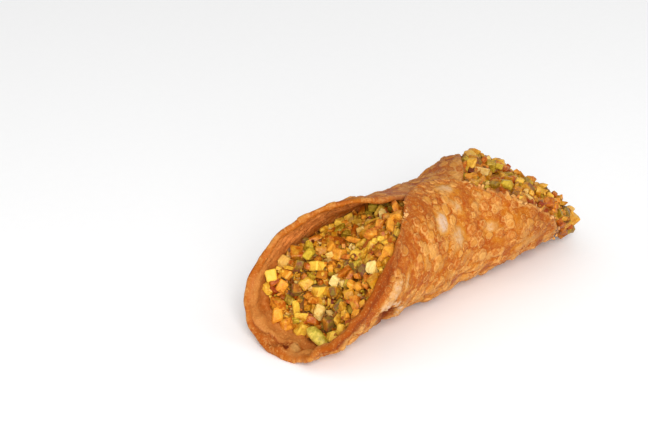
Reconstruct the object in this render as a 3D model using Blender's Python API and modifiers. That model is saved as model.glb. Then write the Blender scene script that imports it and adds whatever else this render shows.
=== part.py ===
"""A filled cannolo: a fried shell rolled from one round of dough, with cream and chopped pistachios in it.

The roll lies along X with its lowest line on Z = 0 and its lap on top. The front mouth, the longer slant,
opens towards -X. The dough is described flat, by u along the roll and w across it, and is then rolled up:
the angle round the roll is w over the roll's radius, 0 at the bottom and positive towards -Y.
Run it with blender --background --python part.py, or from Blender's text editor. Lengths are in metres.
"""

import math

import bmesh
import bpy
import numpy as np
from mathutils import Vector, noise

# The round of dough, as it lies flat
FRONT_REACH = 0.0705  # from the datum at the waist to the front tip
BACK_REACH = 0.0595  # from the datum to the back tip
FRONT_TIP_ACROSS = 0.0088  # the front tip is turned this far towards the near side
BACK_TIP_ACROSS = -0.0049
NEAR_WRAP = 3.17  # angle that the near flap, the one on top, reaches round the roll
FAR_WRAP = 3.50  # angle that the far flap, which is tucked under, reaches the other way
NEAR_PEAK_ALONG = -0.0045  # where along the roll each flap reaches furthest
FAR_PEAK_ALONG = 0.0088
EDGE_POWERS = {  # roundness of each quarter of the edge: 2 is an ellipse, less is straighter
    "near_back": 1.45,
    "near_front": 1.45,
    "far_front": 2.16,
    "far_back": 1.40,
}
DOUGH_THICKNESS = 0.0020

# The roll
WAIST_RADIUS = 0.0194
WAIST_ALONG = 0.0080
FRONT_RADIUS = 0.0213
FRONT_FLARE_LENGTH = 0.0530
BACK_RADIUS = 0.0203
BACK_FLARE_LENGTH = 0.0180
FRONT_LEAN = 0.0027  # how far the top of the front mouth leans towards the near side
FRONT_SPREAD = 0.0013  # extra half-width of each mouth
BACK_SPREAD = 0.0019
FLAT_DEPTH = 0.0006  # how far the underside is pressed flat
UNDERSIDE_RISE = 0.0016  # how far the middle of the underside stands off the table
FRONT_FOOT = (0.012, 0.030)  # length that rests on the table at each tip, and length over which it lifts off
BACK_FOOT = (0.007, 0.025)
RIPPLE_HEIGHT = 0.00045  # gentle unevenness of the fried wall
RIPPLE_LENGTH = 0.066
LAP_GAP = 0.0004  # clearance between the two flaps where they lap
LAP_START = 2.0  # angle where the near flap starts to rise over the far flap
LAP_RISE = 0.7

# What fills the roll
CLEARANCE = 0.0005  # between pieces that touch
MOUTHS = {
    # rim_gap: from the rim to the nuts; lip_gap: how much more that is at lip_angle round the mouth;
    # depth: of the nuts along the wall; nuts and cream: each dome's height and its lean, which is 0
    # when it stands square to the mouth and 1 when it stands out along the roll
    "front": {
        "rim_gap": 0.0020,
        "lip_gap": 0.0058,
        "lip_angle": -0.95,
        "depth": 0.0058,
        "nuts": (0.0042, 0.5),
        "cream": (0.0042, 0.5),
    },
    "back": {
        "rim_gap": 0.0010,
        "lip_gap": -0.0090,
        "lip_angle": 0.15,
        "depth": 0.0095,
        "nuts": (0.0125, 0.75),
        "cream": (0.0165, 1.0),
    },
}
HEAP_POWER = 2.4  # 2 is an ellipsoid, more has a flatter middle and steeper sides
NUT_RELIEF = 0.0016  # height of the uneven nut surface
NUT_RELIEF_SIZE = 0.0042  # length of its bumps

# The middle of the finished object's box, as seen from the datum
BOX_MIDDLE_X = 0.0003
BOX_MIDDLE_Y = -0.00075

# How finely the pieces are divided
DOUGH_STEPS = 34
RING_STEPS = 36
FILLING_WALL_STEPS = 14
CAP_STEPS = 6
COAT_STEPS = 8
EDGE_SAMPLES = 120


def smooth(t):
    """0 below t = 0, 1 above t = 1, and an S-shaped rise between."""
    t = min(max(t, 0.0), 1.0)
    return t * t * (3.0 - 2.0 * t)


def roll_radius(u):
    """Outer radius of the roll: smallest at the waist, larger towards both mouths."""
    front = smooth((WAIST_ALONG - u) / FRONT_FLARE_LENGTH)
    back = smooth((u - WAIST_ALONG) / BACK_FLARE_LENGTH)
    return WAIST_RADIUS + (FRONT_RADIUS - WAIST_RADIUS) * front + (BACK_RADIUS - WAIST_RADIUS) * back


def ripple(u, angle):
    """Low waves in the wall, the same for both flaps where they lap."""
    phase = 2.0 * math.pi * u / RIPPLE_LENGTH
    wave = math.sin(phase + 2.0 * math.sin(angle)) + 0.6 * math.sin(2.0 * phase - 3.0 * angle + 1.0)
    return RIPPLE_HEIGHT * wave * (1.0 - math.cos(angle)) / 4.0


def place(u, angle, depth=0.0, lifted=False):
    """Point at that depth below the outer face. A lifted point belongs to the near flap, over the lap."""
    front = smooth((WAIST_ALONG - u) / FRONT_FLARE_LENGTH)
    back = smooth((u - WAIST_ALONG) / BACK_FLARE_LENGTH)
    height = (1.0 - math.cos(angle)) / 2.0
    radius = roll_radius(u)
    arm = radius + ripple(u, angle) - depth
    if lifted:
        arm += (DOUGH_THICKNESS + LAP_GAP) * smooth((angle - LAP_START) / LAP_RISE)
    widen = 1.0 + (front * FRONT_SPREAD + back * BACK_SPREAD) / radius
    y = -arm * math.sin(angle) * widen - FRONT_LEAN * front * height
    rise = smooth((u + FRONT_REACH - FRONT_FOOT[0]) / FRONT_FOOT[1])
    rise *= smooth((BACK_REACH - u - BACK_FOOT[0]) / BACK_FOOT[1]) * UNDERSIDE_RISE
    z = radius - arm * math.cos(angle) - FLAT_DEPTH + rise * (1.0 - height)
    return Vector((u - BOX_MIDDLE_X, y - BOX_MIDDLE_Y, max(z, depth)))


def edge_quarter(turn, tip, peak, power):
    """Point of a quarter of the dough's edge, from its tip at turn 0 to its flap's peak at turn 1."""
    angle = turn * math.pi / 2.0
    along = max(math.cos(angle), 0.0) ** (2.0 / power)
    across = max(math.sin(angle), 0.0) ** (2.0 / power)
    return (
        peak[0] + (tip[0] - peak[0]) * along,
        tip[1] + (peak[1] - tip[1]) * across,
    )


TIPS = {"front": (-FRONT_REACH, FRONT_TIP_ACROSS), "back": (BACK_REACH, BACK_TIP_ACROSS)}
PEAKS = {
    "near": (NEAR_PEAK_ALONG, WAIST_RADIUS * NEAR_WRAP),
    "far": (FAR_PEAK_ALONG, -WAIST_RADIUS * FAR_WRAP),
}


def edge_point(direction):
    """Point of the dough's edge in a direction from its middle: 0 back tip, half a turn front tip."""
    quarters = (
        ("near", "back"),
        ("near", "front"),
        ("far", "front"),
        ("far", "back"),
    )
    step = (direction / (math.pi / 2.0)) % 4.0
    index = int(step) % 4
    side, end = quarters[index]
    turn = step - index
    if index in (1, 3):
        turn = 1.0 - turn
    return edge_quarter(turn, TIPS[end], PEAKS[side], EDGE_POWERS[f"{side}_{end}"])


def square_to_disc(a, b):
    """Radius and direction in a unit disc of a point of the square from -1 to 1, without pinched corners."""
    if a == 0.0 and b == 0.0:
        return 0.0, 0.0
    if abs(a) >= abs(b):
        return abs(a), (math.pi / 4.0) * (b / a) + (0.0 if a > 0.0 else math.pi)
    return abs(b), math.pi / 2.0 - (math.pi / 4.0) * (a / b) + (0.0 if b > 0.0 else math.pi)


def rim_along(end):
    """How far along the roll the opening's rim lies at each of RING_STEPS angles, from -pi up."""
    turns = np.linspace(0.0, 1.0, EDGE_SAMPLES)
    angles, alongs = [], []
    for side in ("far", "near"):
        power = EDGE_POWERS[f"{side}_{end}"]
        points = [edge_quarter(t, TIPS[end], PEAKS[side], power) for t in turns]
        if side == "far":
            points.reverse()
        angles += [w / roll_radius(u) for u, w in points]
        alongs += [u for u, w in points]
    ring = np.linspace(-math.pi, math.pi, RING_STEPS, endpoint=False)
    rim = np.interp(ring, angles, alongs)
    spread = np.array([1.0, 2.0, 3.0, 2.0, 1.0])
    around = np.concatenate([rim[-2:], rim, rim[:2]])
    return ring, np.convolve(around, spread / spread.sum(), mode="valid")


def mouth_ring(end, deeper=0.0):
    """Closed ring of points on the inside of the wall, deeper into the roll by that much."""
    mouth = MOUTHS[end]
    inward = 1.0 if end == "front" else -1.0
    depth = DOUGH_THICKNESS + CLEARANCE
    ring, rim = rim_along(end)
    points = []
    for angle, u in zip(ring, rim):
        lip = (1.0 + math.cos(angle - mouth["lip_angle"])) / 2.0
        inset = mouth["rim_gap"] + mouth["lip_gap"] * lip
        points.append(place(u + inward * (inset + deeper), angle, depth))
    return points


def heap_axis(ring, end, layer):
    """Middle of a ring, and the direction out of the roll that a layer of the heap on it bulges in."""
    middle = sum(ring, Vector()) / len(ring)
    square = Vector()
    for a, b in zip(ring, ring[1:] + ring[:1]):
        square += (a - middle).cross(b - middle)
    square.normalize()
    if square.z < 0.0:
        square.negate()
    along = Vector((-1.0 if end == "front" else 1.0, 0.0, 0.0))
    return middle, square.lerp(along, MOUTHS[end][layer][1]).normalized()


def cap_point(ring, step, turn, end, layer):
    """Point of the dome that closes a ring: turn 0 at its middle, 1 on the ring."""
    middle, axis = heap_axis(ring, end, layer)
    angle = turn * math.pi / 2.0
    out = math.sin(angle) ** (2.0 / HEAP_POWER)
    up = max(math.cos(angle), 0.0) ** (2.0 / HEAP_POWER)
    return middle + (ring[step % len(ring)] - middle) * out + axis * MOUTHS[end][layer][0] * up


def filling_point(rings, step, row):
    """Point of the filling's skin in a row from the front dome's middle, along the wall, to the back's."""
    last = 2 * CAP_STEPS + FILLING_WALL_STEPS
    if row <= CAP_STEPS:
        return cap_point(rings["front"], step, row / CAP_STEPS, "front", "cream")
    if row >= last - CAP_STEPS:
        return cap_point(rings["back"], step, (last - row) / CAP_STEPS, "back", "cream")
    share = (row - CAP_STEPS) / FILLING_WALL_STEPS
    start, end = rings["front"][step], rings["back"][step]
    u = start.x + (end.x - start.x) * share + BOX_MIDDLE_X
    angle = -math.pi + 2.0 * math.pi * step / RING_STEPS
    return place(u, angle, DOUGH_THICKNESS + CLEARANCE)


def coat_point(outer, inner, step, row, end):
    """Point of a nut coat's skin in a row from its outer middle, over its edge, to its inner middle."""
    last = 2 * COAT_STEPS + 1
    if row <= COAT_STEPS:
        turn = row / COAT_STEPS
        point = cap_point(outer, step, turn, end, "nuts")
        rough = noise.noise(point / NUT_RELIEF_SIZE) * (1.0 - turn**6)
        return point + heap_axis(outer, end, "nuts")[1] * NUT_RELIEF * rough
    return cap_point(inner, step, (last - row) / COAT_STEPS, end, "cream")


def add_piece(name, mesh, collection, material):
    """Puts a mesh in the scene as a named object with its own material."""
    piece = bpy.data.objects.new(name, mesh)
    collection.objects.link(piece)
    mesh.materials.append(material)
    return piece


def make_material(name, colour, roughness):
    """A plain surface of that colour and roughness."""
    material = bpy.data.materials.new(name)
    material.use_nodes = True
    surface = material.node_tree.nodes["Principled BSDF"]
    surface.inputs["Base Color"].default_value = (*colour, 1.0)
    surface.inputs["Roughness"].default_value = roughness
    surface.inputs["Metallic"].default_value = 0.0
    return material


def shell_mesh():
    """The outer face of the dough: a flat grid cut to the dough's outline and rolled up."""
    build = bmesh.new()
    bmesh.ops.create_grid(build, x_segments=DOUGH_STEPS, y_segments=DOUGH_STEPS, size=1.0)
    for vertex in build.verts:
        share, direction = square_to_disc(vertex.co.x, vertex.co.y)
        u, w = (share * value for value in edge_point(direction))
        vertex.co = place(u, w / roll_radius(u), lifted=True)
    mesh = bpy.data.meshes.new("pastry_shell")
    build.to_mesh(mesh)
    build.free()
    return mesh


def skin_from_sphere(name, rows, point_at):
    """A closed skin made from a sphere whose vertex at each row and step is moved to point_at(step, row)."""
    build = bmesh.new()
    bmesh.ops.create_uvsphere(build, u_segments=RING_STEPS, v_segments=rows, radius=1.0)
    for vertex in build.verts:
        row = round(math.acos(min(max(vertex.co.z, -1.0), 1.0)) / math.pi * rows)
        around = math.atan2(vertex.co.y, vertex.co.x) / (2.0 * math.pi)
        vertex.co = point_at(round(around * RING_STEPS) % RING_STEPS, row)
    if build.calc_volume(signed=True) < 0.0:
        bmesh.ops.reverse_faces(build, faces=build.faces)
    mesh = bpy.data.meshes.new(name)
    build.to_mesh(mesh)
    build.free()
    return mesh


def make_shell(collection):
    """The pastry shell: the rolled outer face, thickened inwards to the dough's thickness."""
    material = make_material("fried_pastry", (0.60, 0.20, 0.045), 0.42)
    shell = add_piece("pastry_shell", shell_mesh(), collection, material)
    wall = shell.modifiers.new("dough_thickness", "SOLIDIFY")
    wall.thickness = DOUGH_THICKNESS
    wall.offset = -1.0
    wall.use_even_offset = True


def make_filling(collection):
    """The cream, one solid from mouth to mouth, domed under the nut coats."""
    rings = {}
    for end, mouth in MOUTHS.items():
        rings[end] = mouth_ring(end, mouth["depth"] + 2.0 * CLEARANCE)
    mesh = skin_from_sphere(
        "cream_filling",
        2 * CAP_STEPS + FILLING_WALL_STEPS,
        lambda step, row: filling_point(rings, step, row),
    )
    add_piece("cream_filling", mesh, collection, make_material("cream", (0.80, 0.68, 0.46), 0.5))


def make_coat(end, collection, material):
    """The layer of chopped pistachios over one end of the cream, out to its uneven face."""
    outer = mouth_ring(end)
    inner = mouth_ring(end, MOUTHS[end]["depth"])
    mesh = skin_from_sphere(
        f"pistachio_coat_{end}",
        2 * COAT_STEPS + 1,
        lambda step, row: coat_point(outer, inner, step, row, end),
    )
    add_piece(f"pistachio_coat_{end}", mesh, collection, material)


def main():
    """Clears the scene and builds the cannolo in a collection of its own."""
    for old in list(bpy.data.objects):
        bpy.data.objects.remove(old)
    collection = bpy.data.collections.new("cannolo")
    bpy.context.scene.collection.children.link(collection)
    make_shell(collection)
    make_filling(collection)
    nuts = make_material("chopped_pistachio", (0.50, 0.27, 0.05), 0.5)
    for end in MOUTHS:
        make_coat(end, collection, nuts)


main()
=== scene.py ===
"""A filled cannolo: a blistered fried shell, cream, and chopped pistachios pressed onto both ends.

The dough is described flat, by u along the roll and w across it, and is then rolled up: the angle round
the roll is w over the roll's radius, 0 at the bottom and positive towards the near side, -Y. Lengths are in
metres, except in the tables that say millimetres.
"""

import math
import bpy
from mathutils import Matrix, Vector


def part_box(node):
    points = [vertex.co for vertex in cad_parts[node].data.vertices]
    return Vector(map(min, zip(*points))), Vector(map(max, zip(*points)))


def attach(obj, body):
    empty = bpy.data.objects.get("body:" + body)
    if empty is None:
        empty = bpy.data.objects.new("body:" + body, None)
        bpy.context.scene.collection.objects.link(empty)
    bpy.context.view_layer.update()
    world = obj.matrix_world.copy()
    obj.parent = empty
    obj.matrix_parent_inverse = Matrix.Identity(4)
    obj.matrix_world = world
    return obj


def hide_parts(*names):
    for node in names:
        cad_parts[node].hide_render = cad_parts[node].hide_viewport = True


bl_info = {
    "name": "Filled cannolo",
    "version": (1, 0, 0),
    "blender": (4, 5, 0),
    "location": "3D View > Sidebar > Cannolo",
    "description": "Builds a fried pastry roll with cream and chopped pistachios, and its stage",
    "category": "Object",
}

import bpy
import numpy as np
from mathutils import Matrix, Vector

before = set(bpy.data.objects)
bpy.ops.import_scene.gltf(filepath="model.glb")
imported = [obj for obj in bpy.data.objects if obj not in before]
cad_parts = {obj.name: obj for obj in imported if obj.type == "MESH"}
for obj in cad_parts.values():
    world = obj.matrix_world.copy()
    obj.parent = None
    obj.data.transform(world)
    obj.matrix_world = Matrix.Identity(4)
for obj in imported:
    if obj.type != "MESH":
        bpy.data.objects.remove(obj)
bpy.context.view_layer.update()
SHELL_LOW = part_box("pastry_shell")[0]
MM = 0.001

# The round of dough, as it lies flat. The datum is where u and w are 0, under the roll and near its waist
FRONT_REACH = 0.0705
BACK_REACH = 0.0595
DATUM = Vector((SHELL_LOW.x + FRONT_REACH, 0.00075, 0.0))
TIPS_ACROSS = {"front": 0.0088, "back": -0.0049}
FLAP_PEAKS = {"near": (-0.0045, 3.17), "far": (0.0088, 3.50)}  # where along the roll, and how far round
EDGE_POWERS = {"near_back": 1.45, "near_front": 1.45, "far_front": 2.16, "far_back": 1.40}

# The roll that the dough is wrapped into
WAIST_RADIUS = 0.0194
WAIST_ALONG = 0.0080
FRONT_RADIUS = 0.0213
FRONT_FLARE_LENGTH = 0.0530
BACK_RADIUS = 0.0203
BACK_FLARE_LENGTH = 0.0180
FRONT_LEAN = 0.0027
FRONT_SPREAD = 0.0013
BACK_SPREAD = 0.0019
FLAT_DEPTH = 0.0006
UNDERSIDE_RISE = 0.0016
FRONT_FOOT = (0.012, 0.030)  # how far from the tip the underside starts to rise, and over what length
BACK_FOOT = (0.007, 0.025)
RIPPLE_HEIGHT = 0.00045
RIPPLE_LENGTH = 0.066
LAP_LIFT = 0.0021
LAP_START = 2.0
LAP_RISE = 0.7

# Larger bends of the edge: direction in the dough, share of the way out, and how far they spread
EDGE_BENDS = (
    (1.12, -0.060, 0.13),
    (0.90, -0.030, 0.05),
    (0.67, 0.034, 0.12),
    (1.90, 0.014, 0.14),
    (3.12, -0.028, 0.10),
    (3.68, 0.016, 0.28),
    (3.54, 0.014, 0.12),
)
RAGGED_EDGE = (0.25, 1.35)  # directions between which the edge is flaky: the back edge of the near flap

# How finely the shell is divided: the inside is half as fine as the outside
OUTSIDE_CELLS = 264
INSIDE_CELLS = 132
INSIDE_MIDDLE = -0.038  # where along the roll the inside's grid has its middle: it is finer on the lip
RIM_ROWS = 5
RIM_BEND = 0.0011  # how far the rounded rim reaches past both faces
NORMAL_STEP = 0.0002  # half the length over which a slope of the roll is taken
INNER_FLOOR = 0.0011  # height of the inner face over the table, at the least
BLOCK = 4000  # how many points are compared at once with all the bubbles, or with the whole rim

# Where the nuts meet the wall. In front they leave the lip bare and run level along the far wall: how far
# round the roll, and how far along it in mm. At the back they start a little beyond the rim and hang over
# it, most of all at hang_angle
FRONT_FILL = (
    (-3.14, -6.0), (-2.70, -4.0), (-2.42, -4.5), (-2.26, -7.5), (-2.14, -12.0), (-2.04, -18.0),
    (-1.95, -24.0), (-1.87, -30.0), (-1.80, -36.0), (-1.73, -41.5), (-1.66, -46.5), (-1.56, -50.5),
    (-1.42, -53.5), (-1.24, -56.0), (-1.05, -57.5), (-0.85, -58.0), (-0.62, -58.5), (-0.40, -57.5),
    (-0.20, -56.5), (0.00, -55.5), (0.30, -53.5), (0.60, -54.0), (1.00, -56.0), (1.40, -52.0),
    (1.80, -45.0), (2.10, -37.5), (2.33, -31.5), (2.55, -26.0), (2.75, -20.0), (2.95, -12.0),
    (3.14, -6.0),
)
BACK_FILL = {"beyond": 0.0010, "hang": 0.0120, "hang_angle": 0.05, "hang_power": 0.70}
FILL_DEPTH = 0.0024  # how far inside the outer face the edge of the filling lies
FILL_STEPS = 144  # points round a mouth
FILL_BLUR = 15  # how many of them are averaged
CREAM_BACK = 0.0015  # how much deeper in the mouth the edge of the cream lies than the edge of the nuts
CAP_ROWS = 34  # rows of the cream's mesh over each end, and along the wall between them
WALL_ROWS = 60
CREAM_LUMPS = ((0.0006, 0.007, 61), (0.00025, 0.0025, 62))  # height, size and seed
MOUTHS = ("front", "back")
HEAPS = {  # height of the dome, how far it leans from square to along the roll, and how square it is
    "front": (0.0042, 0.5, 2.1),
    "back": (0.0071, 0.64, 1.85),
}

# How the chunks are thrown on each end: the random seed, how many large ones and crumbs are tried, the room
# that large ones keep, how far out they go, the size of the largest, how much painted shade darkens the
# top, the crumbs and the ones underneath, how much of each kind there is beside its setting, and what is
# added to their tint, which at the back is a little painted shade
NUT_THROWS = {
    "front": {"seed": 71, "large": 2000, "crumbs": 3600, "room": 0.84, "spread": 0.97, "size": 1.0,
              "shade": (0.0, 0.35, 1.0), "kinds": (1.0, 1.0, 1.0, 1.0, 1.0), "tint": 0.0},
    "back": {"seed": 72, "large": 2600, "crumbs": 2600, "room": 0.88, "spread": 1.0, "size": 0.90,
             "shade": (0.22, 0.50, 1.0), "kinds": (0.75, 1.20, 1.50, 0.80, 0.80), "tint": -0.04},
}
NUT_SINKS = (0.0009, 0.0018, 0.0034)  # how far under the dome the three layers lie
NUT_FLOOR = 0.0016  # height of the lowest chunks over the table
NUT_KINDS = ("golden", "yellow", "green", "skinned", "pale")
RIM_CLEAR = {"front": -0.0004, "back": 0.0002}  # how far along from the rim chunks start to be held in
WALL_CLEAR = 0.0012  # and how far inside the outer face they are held
CHUNK_POINTS = 24  # points of a chunk: 4 on each of its 6 sides

# Blisters, as ovals: along, across, half length and half width in mm, and turn in degrees. Then come their
# height in mm and their paleness. The last four are on the far side
LARGE_BLISTERS = (
    (-10.4, 45.4, 3.8, 3.3, 78, 0.80, 1.05),
    (-5.4, 38.2, 4.6, 4.2, 60, 0.55, 0.70),
    (-1.0, 47.6, 3.7, 1.9, 118, 0.50, 0.60),
    (0.2, 54.0, 3.8, 2.4, 150, 0.50, 0.68),
    (11.8, 36.3, 3.6, 2.2, 165, 0.40, 0.62),
    (8.2, 45.1, 2.2, 1.8, 30, 0.50, 0.42),
    (11.2, 47.4, 1.9, 1.6, 30, 0.45, 0.42),
    (-10.6, 26.4, 3.8, 1.8, 165, 0.40, 0.40),
    (31.0, 25.6, 7.0, 2.3, 4, 0.35, 0.45),
    (22.0, 34.0, 2.0, 1.7, 80, 0.35, 0.25),
    (-16.7, 47.0, 1.9, 1.6, 0, 0.35, 0.45),
    (-16.0, 32.5, 2.5, 2.0, 20, 0.40, 0.38),
    (-2.7, 29.8, 2.5, 2.0, 10, 0.40, 0.42),
    (-24.0, 37.5, 2.8, 1.5, 70, 0.40, 0.40),
    (-35.0, 35.4, 3.8, 1.2, 55, 0.40, 0.62),
    (38.0, 37.0, 2.2, 1.8, 10, 0.35, 0.25),
    (31.0, -45.0, 3.2, 2.0, 10, 0.60, 0.40),
    (23.5, -43.0, 2.6, 2.0, 60, 0.60, 0.25),
    (17.0, -47.5, 2.6, 1.8, 30, 0.55, 0.20),
    (26.0, -50.0, 2.4, 1.6, 20, 0.50, 0.30),
)
CALM_PATCHES = (  # along, across, half length, half width in mm, where the crust stays smooth and dark
    (-18.0, 55.0, 7.0, 3.6),
    (-0.4, 42.8, 3.6, 1.6),
    (12.4, 30.0, 5.2, 3.0),
    (1.8, 32.8, 3.6, 1.8),
    (-25.5, 31.8, 4.0, 3.0),
    (-29.8, 45.6, 3.0, 5.5),
    (-51.5, 30.5, 6.0, 3.6),
    (43.0, 38.0, 6.0, 3.0),
    (4.6, 51.4, 3.4, 1.6),
    (15.0, 50.5, 3.5, 2.0),
)
BUBBLE_LAYERS = (  # seed, how many are thrown, smallest and largest radius in mm, closeness, rise by radius
    (40, 420, 1.80, 2.70, 1.02, 0.20),
    (41, 3600, 0.95, 1.95, 0.86, 0.26),
    (42, 7600, 0.42, 0.90, 0.96, 0.24),
)
DENTS = (  # ovals and their depth in mm: where the whole wall stands in, or out where that is below 0
    (-41.0, 14.0, 9.0, 9.0, 1.3),
    (-23.0, 13.5, 5.5, 8.0, 1.9),
    (-33.0, 14.0, 4.5, 7.0, 1.0),
    (-11.0, 12.0, 6.0, 7.0, -0.5),
    (50.0, 13.5, 17.0, 9.0, 1.9),
)
RIDGE = ((-39.8, 36.0), (-45.2, 29.8))  # the ends of the long blister behind the front collar, in mm
RIDGE_HALF_WIDTHS = (2.4, 3.3)
RIDGE_HEIGHT = 0.0008
BURST = (-41.0, 22.4, 6.6, 4.3, -41)  # the oval where its lower end has broken open
BURST_DEPTH = 0.0009
PIN_HOLES = ((17.5, 31.7, 0.75), (-30.2, 28.9, 0.65), (2.0, 27.0, 0.5), (-14.0, 33.0, 0.5))  # with radius
PIN_HOLE_DEPTH = 0.00035
SWELLS = ((0.00030, 0.0150, 36), (0.00008, 0.0045, 37), (0.00004, 0.0016, 38))  # height, size and seed
BUBBLE_BEND = 0.00022  # how far the bubbles' outlines leave a circle
WRINKLE_HEIGHT = 0.00016
COLLAR_WIDTH = 0.0058
COLLAR_DEPTH = 0.0003

# The inside. The front lip has a blister and a hole, both ovals, and a fold, whose edge is given in mm
LIP_ROUND = (0.0004, 0.0030, 0.0022)  # height of the rounded lip, how far from the rim it is, and how wide
LIP_SPOTS = {  # the oval, and its rise in mm
    "lip_blister": ((-63.9, 2.0, 3.0, 1.8, 136), 0.7),
    "lip_hole": ((-65.7, -0.6, 2.4, 1.05, 136), -0.9),
}
LIP_FOLD = ((-66.6, -18.0), (-66.2, -13.5), (-64.9, -9.0), (-63.8, -5.5), (-62.9, -1.5), (-62.0, 3.0))
FOLD_HEIGHT = 0.0010
FOLD_CRACK = (0.0004, 0.0005)  # its depth and width
BEAD_HEIGHT = 0.0004
FAR_FLARE = 0.0011  # how far the far side's rim leans out

# Loose flakes on the near flap's edge: the directions between which they lie, and how many
FLAKE_RUNS = ((0.38, 0.75, 10), (0.75, 1.20, 16), (1.93, 2.10, 10))

# The half kernel: its middle, along X from the low end of the shell, its long axis, the side where it is
# round, and its length, width and thickness
KERNEL = {
    "middle": (0.0126, -0.0054, 0.0054),
    "axis": (-0.05, -0.90, -0.40),
    "up": (-0.66, -0.35, 0.75),
    "size": (0.0102, 0.0041, 0.0040),
}

# The stage: name, place and size of each soft light, and where they all aim. Their watts are the settings
# of those names
LIGHTS = (
    ("key", (-0.76, -0.84, 0.76), 0.45),
    ("fill", (0.80, -0.75, 0.75), 0.9),
    ("low", (-0.56, -0.64, 0.24), 0.35),
)
LIGHTS_AIM = (0.0, 0.0, 0.02)

# The camera: its turn and lift in degrees, its lens and sensor in mm, and how far back, to the left and up
# from a point in the roll it stands
VIEW = {"turn": -46.52, "lift": 24.0, "lens": 114.03, "sensor": 36.0}
VIEW_POINT = (-0.0003, 0.00075, 0.018)
VIEW_BACK = 0.6865
VIEW_LEFT = 0.0335
VIEW_UP = 0.00687


# ---------------------------------------------------------------- number work


def smooth(t):
    """0 below t = 0, 1 above t = 1, and an S-shaped rise between."""
    t = np.clip(t, 0.0, 1.0)
    return t * t * (3.0 - 2.0 * t)


def waves(points, size, seed, count=16):
    """A soft random field, about -1 to 1: cosines of wavelengths near size in any direction, added up."""
    rng = np.random.default_rng(seed)
    directions = rng.normal(size=(count, points.shape[-1]))
    directions /= np.linalg.norm(directions, axis=1, keepdims=True)
    directions *= 2.0 * math.pi / size * rng.uniform(0.6, 1.6, (count, 1))
    phases = rng.uniform(0.0, 2.0 * math.pi, count)
    total = np.zeros(points.shape[:-1])
    for direction, phase in zip(directions, phases):
        total += np.cos(points @ direction + phase)
    return total / math.sqrt(count)


def sum_of_waves(points, rows):
    """Several fields of waves added up, from their height, size and seed."""
    total = np.zeros(points.shape[:-1])
    for height, size, seed in rows:
        total += height * waves(points, size, seed)
    return total


def oval_distance(u, w, centre_u, centre_w, half_long, half_wide, turn=0.0):
    """Distance from an oval's middle, as a share of its radius: 0 in the middle, 1 on its outline.

    The oval is given in mm, and its turn in degrees.
    """
    turn = math.radians(turn)
    du = u - centre_u * MM
    dw = w - centre_w * MM
    along = (du * math.cos(turn) + dw * math.sin(turn)) / (half_long * MM)
    across = (dw * math.cos(turn) - du * math.sin(turn)) / (half_wide * MM)
    return np.sqrt(along * along + across * across)


# ---------------------------------------------------------------- the dough and the roll


def flares(u):
    """How far the roll has widened towards its front mouth and its back mouth, each from 0 to 1."""
    front = smooth((WAIST_ALONG - u) / FRONT_FLARE_LENGTH)
    back = smooth((u - WAIST_ALONG) / BACK_FLARE_LENGTH)
    return front, back


def roll_radius(u):
    """Outer radius of the roll: smallest at the waist, larger towards both mouths."""
    front, back = flares(u)
    return WAIST_RADIUS + (FRONT_RADIUS - WAIST_RADIUS) * front + (BACK_RADIUS - WAIST_RADIUS) * back


def rolled(u, angle, depth=0.0, lifted=True):
    """Points of the roll: a circle of its radius through z = 0, carried along X, then flared and pressed.

    depth is measured inwards from the outer face. Lifted points past LAP_START ride up over the other flap.
    """
    front, back = flares(u)
    height = (1.0 - np.cos(angle)) / 2.0
    radius = roll_radius(u)
    phase = 2.0 * math.pi * u / RIPPLE_LENGTH
    wave = np.sin(phase + 2.0 * np.sin(angle)) + 0.6 * np.sin(2.0 * phase - 3.0 * angle + 1.0)
    arm = radius + RIPPLE_HEIGHT * wave * height / 2.0 - depth
    if lifted:
        arm = arm + LAP_LIFT * smooth((angle - LAP_START) / LAP_RISE)
    widen = 1.0 + (front * FRONT_SPREAD + back * BACK_SPREAD) / radius
    y = -arm * np.sin(angle) * widen - FRONT_LEAN * front * height
    rise = smooth((u + FRONT_REACH - FRONT_FOOT[0]) / FRONT_FOOT[1])
    rise = rise * smooth((BACK_REACH - u - BACK_FOOT[0]) / BACK_FOOT[1]) * UNDERSIDE_RISE
    z = radius - arm * np.cos(angle) - FLAT_DEPTH + rise * (1.0 - height)
    return np.stack([u + DATUM.x, y + DATUM.y, np.maximum(z, depth)], axis=-1)


def roll_normals(u, angle):
    """Unit normals out of the roll: the cross product of its slopes along u and round the angle."""
    turn = NORMAL_STEP / WAIST_RADIUS
    along = rolled(u + NORMAL_STEP, angle) - rolled(u - NORMAL_STEP, angle)
    around = rolled(u, angle + turn) - rolled(u, angle - turn)
    normals = np.cross(along, around)
    return normals / np.linalg.norm(normals, axis=-1, keepdims=True)


def outline(direction):
    """The dough's edge in a direction: quarters of superellipses between each tip and each flap's peak."""
    step = (direction / (math.pi / 2.0)) % 4.0
    quarter = np.floor(step).astype(int) % 4
    turn = np.where(quarter % 2 == 1, 1.0 - (step - quarter), step - quarter) * math.pi / 2.0
    u = np.zeros_like(turn)
    w = np.zeros_like(turn)
    ends = (("near", "back"), ("near", "front"), ("far", "front"), ("far", "back"))
    for index, (side, end) in enumerate(ends):
        here = quarter == index
        power = 2.0 / EDGE_POWERS[f"{side}_{end}"]
        tip_u = -FRONT_REACH if end == "front" else BACK_REACH
        tip_w = TIPS_ACROSS[end]
        peak_u, wrap = FLAP_PEAKS[side]
        peak_w = WAIST_RADIUS * (wrap if side == "near" else -wrap)
        along = np.maximum(np.cos(turn[here]), 0.0) ** power
        across = np.maximum(np.sin(turn[here]), 0.0) ** power
        u[here] = peak_u + (tip_u - peak_u) * along
        w[here] = tip_w + (peak_w - tip_w) * across
    return u, w


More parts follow.
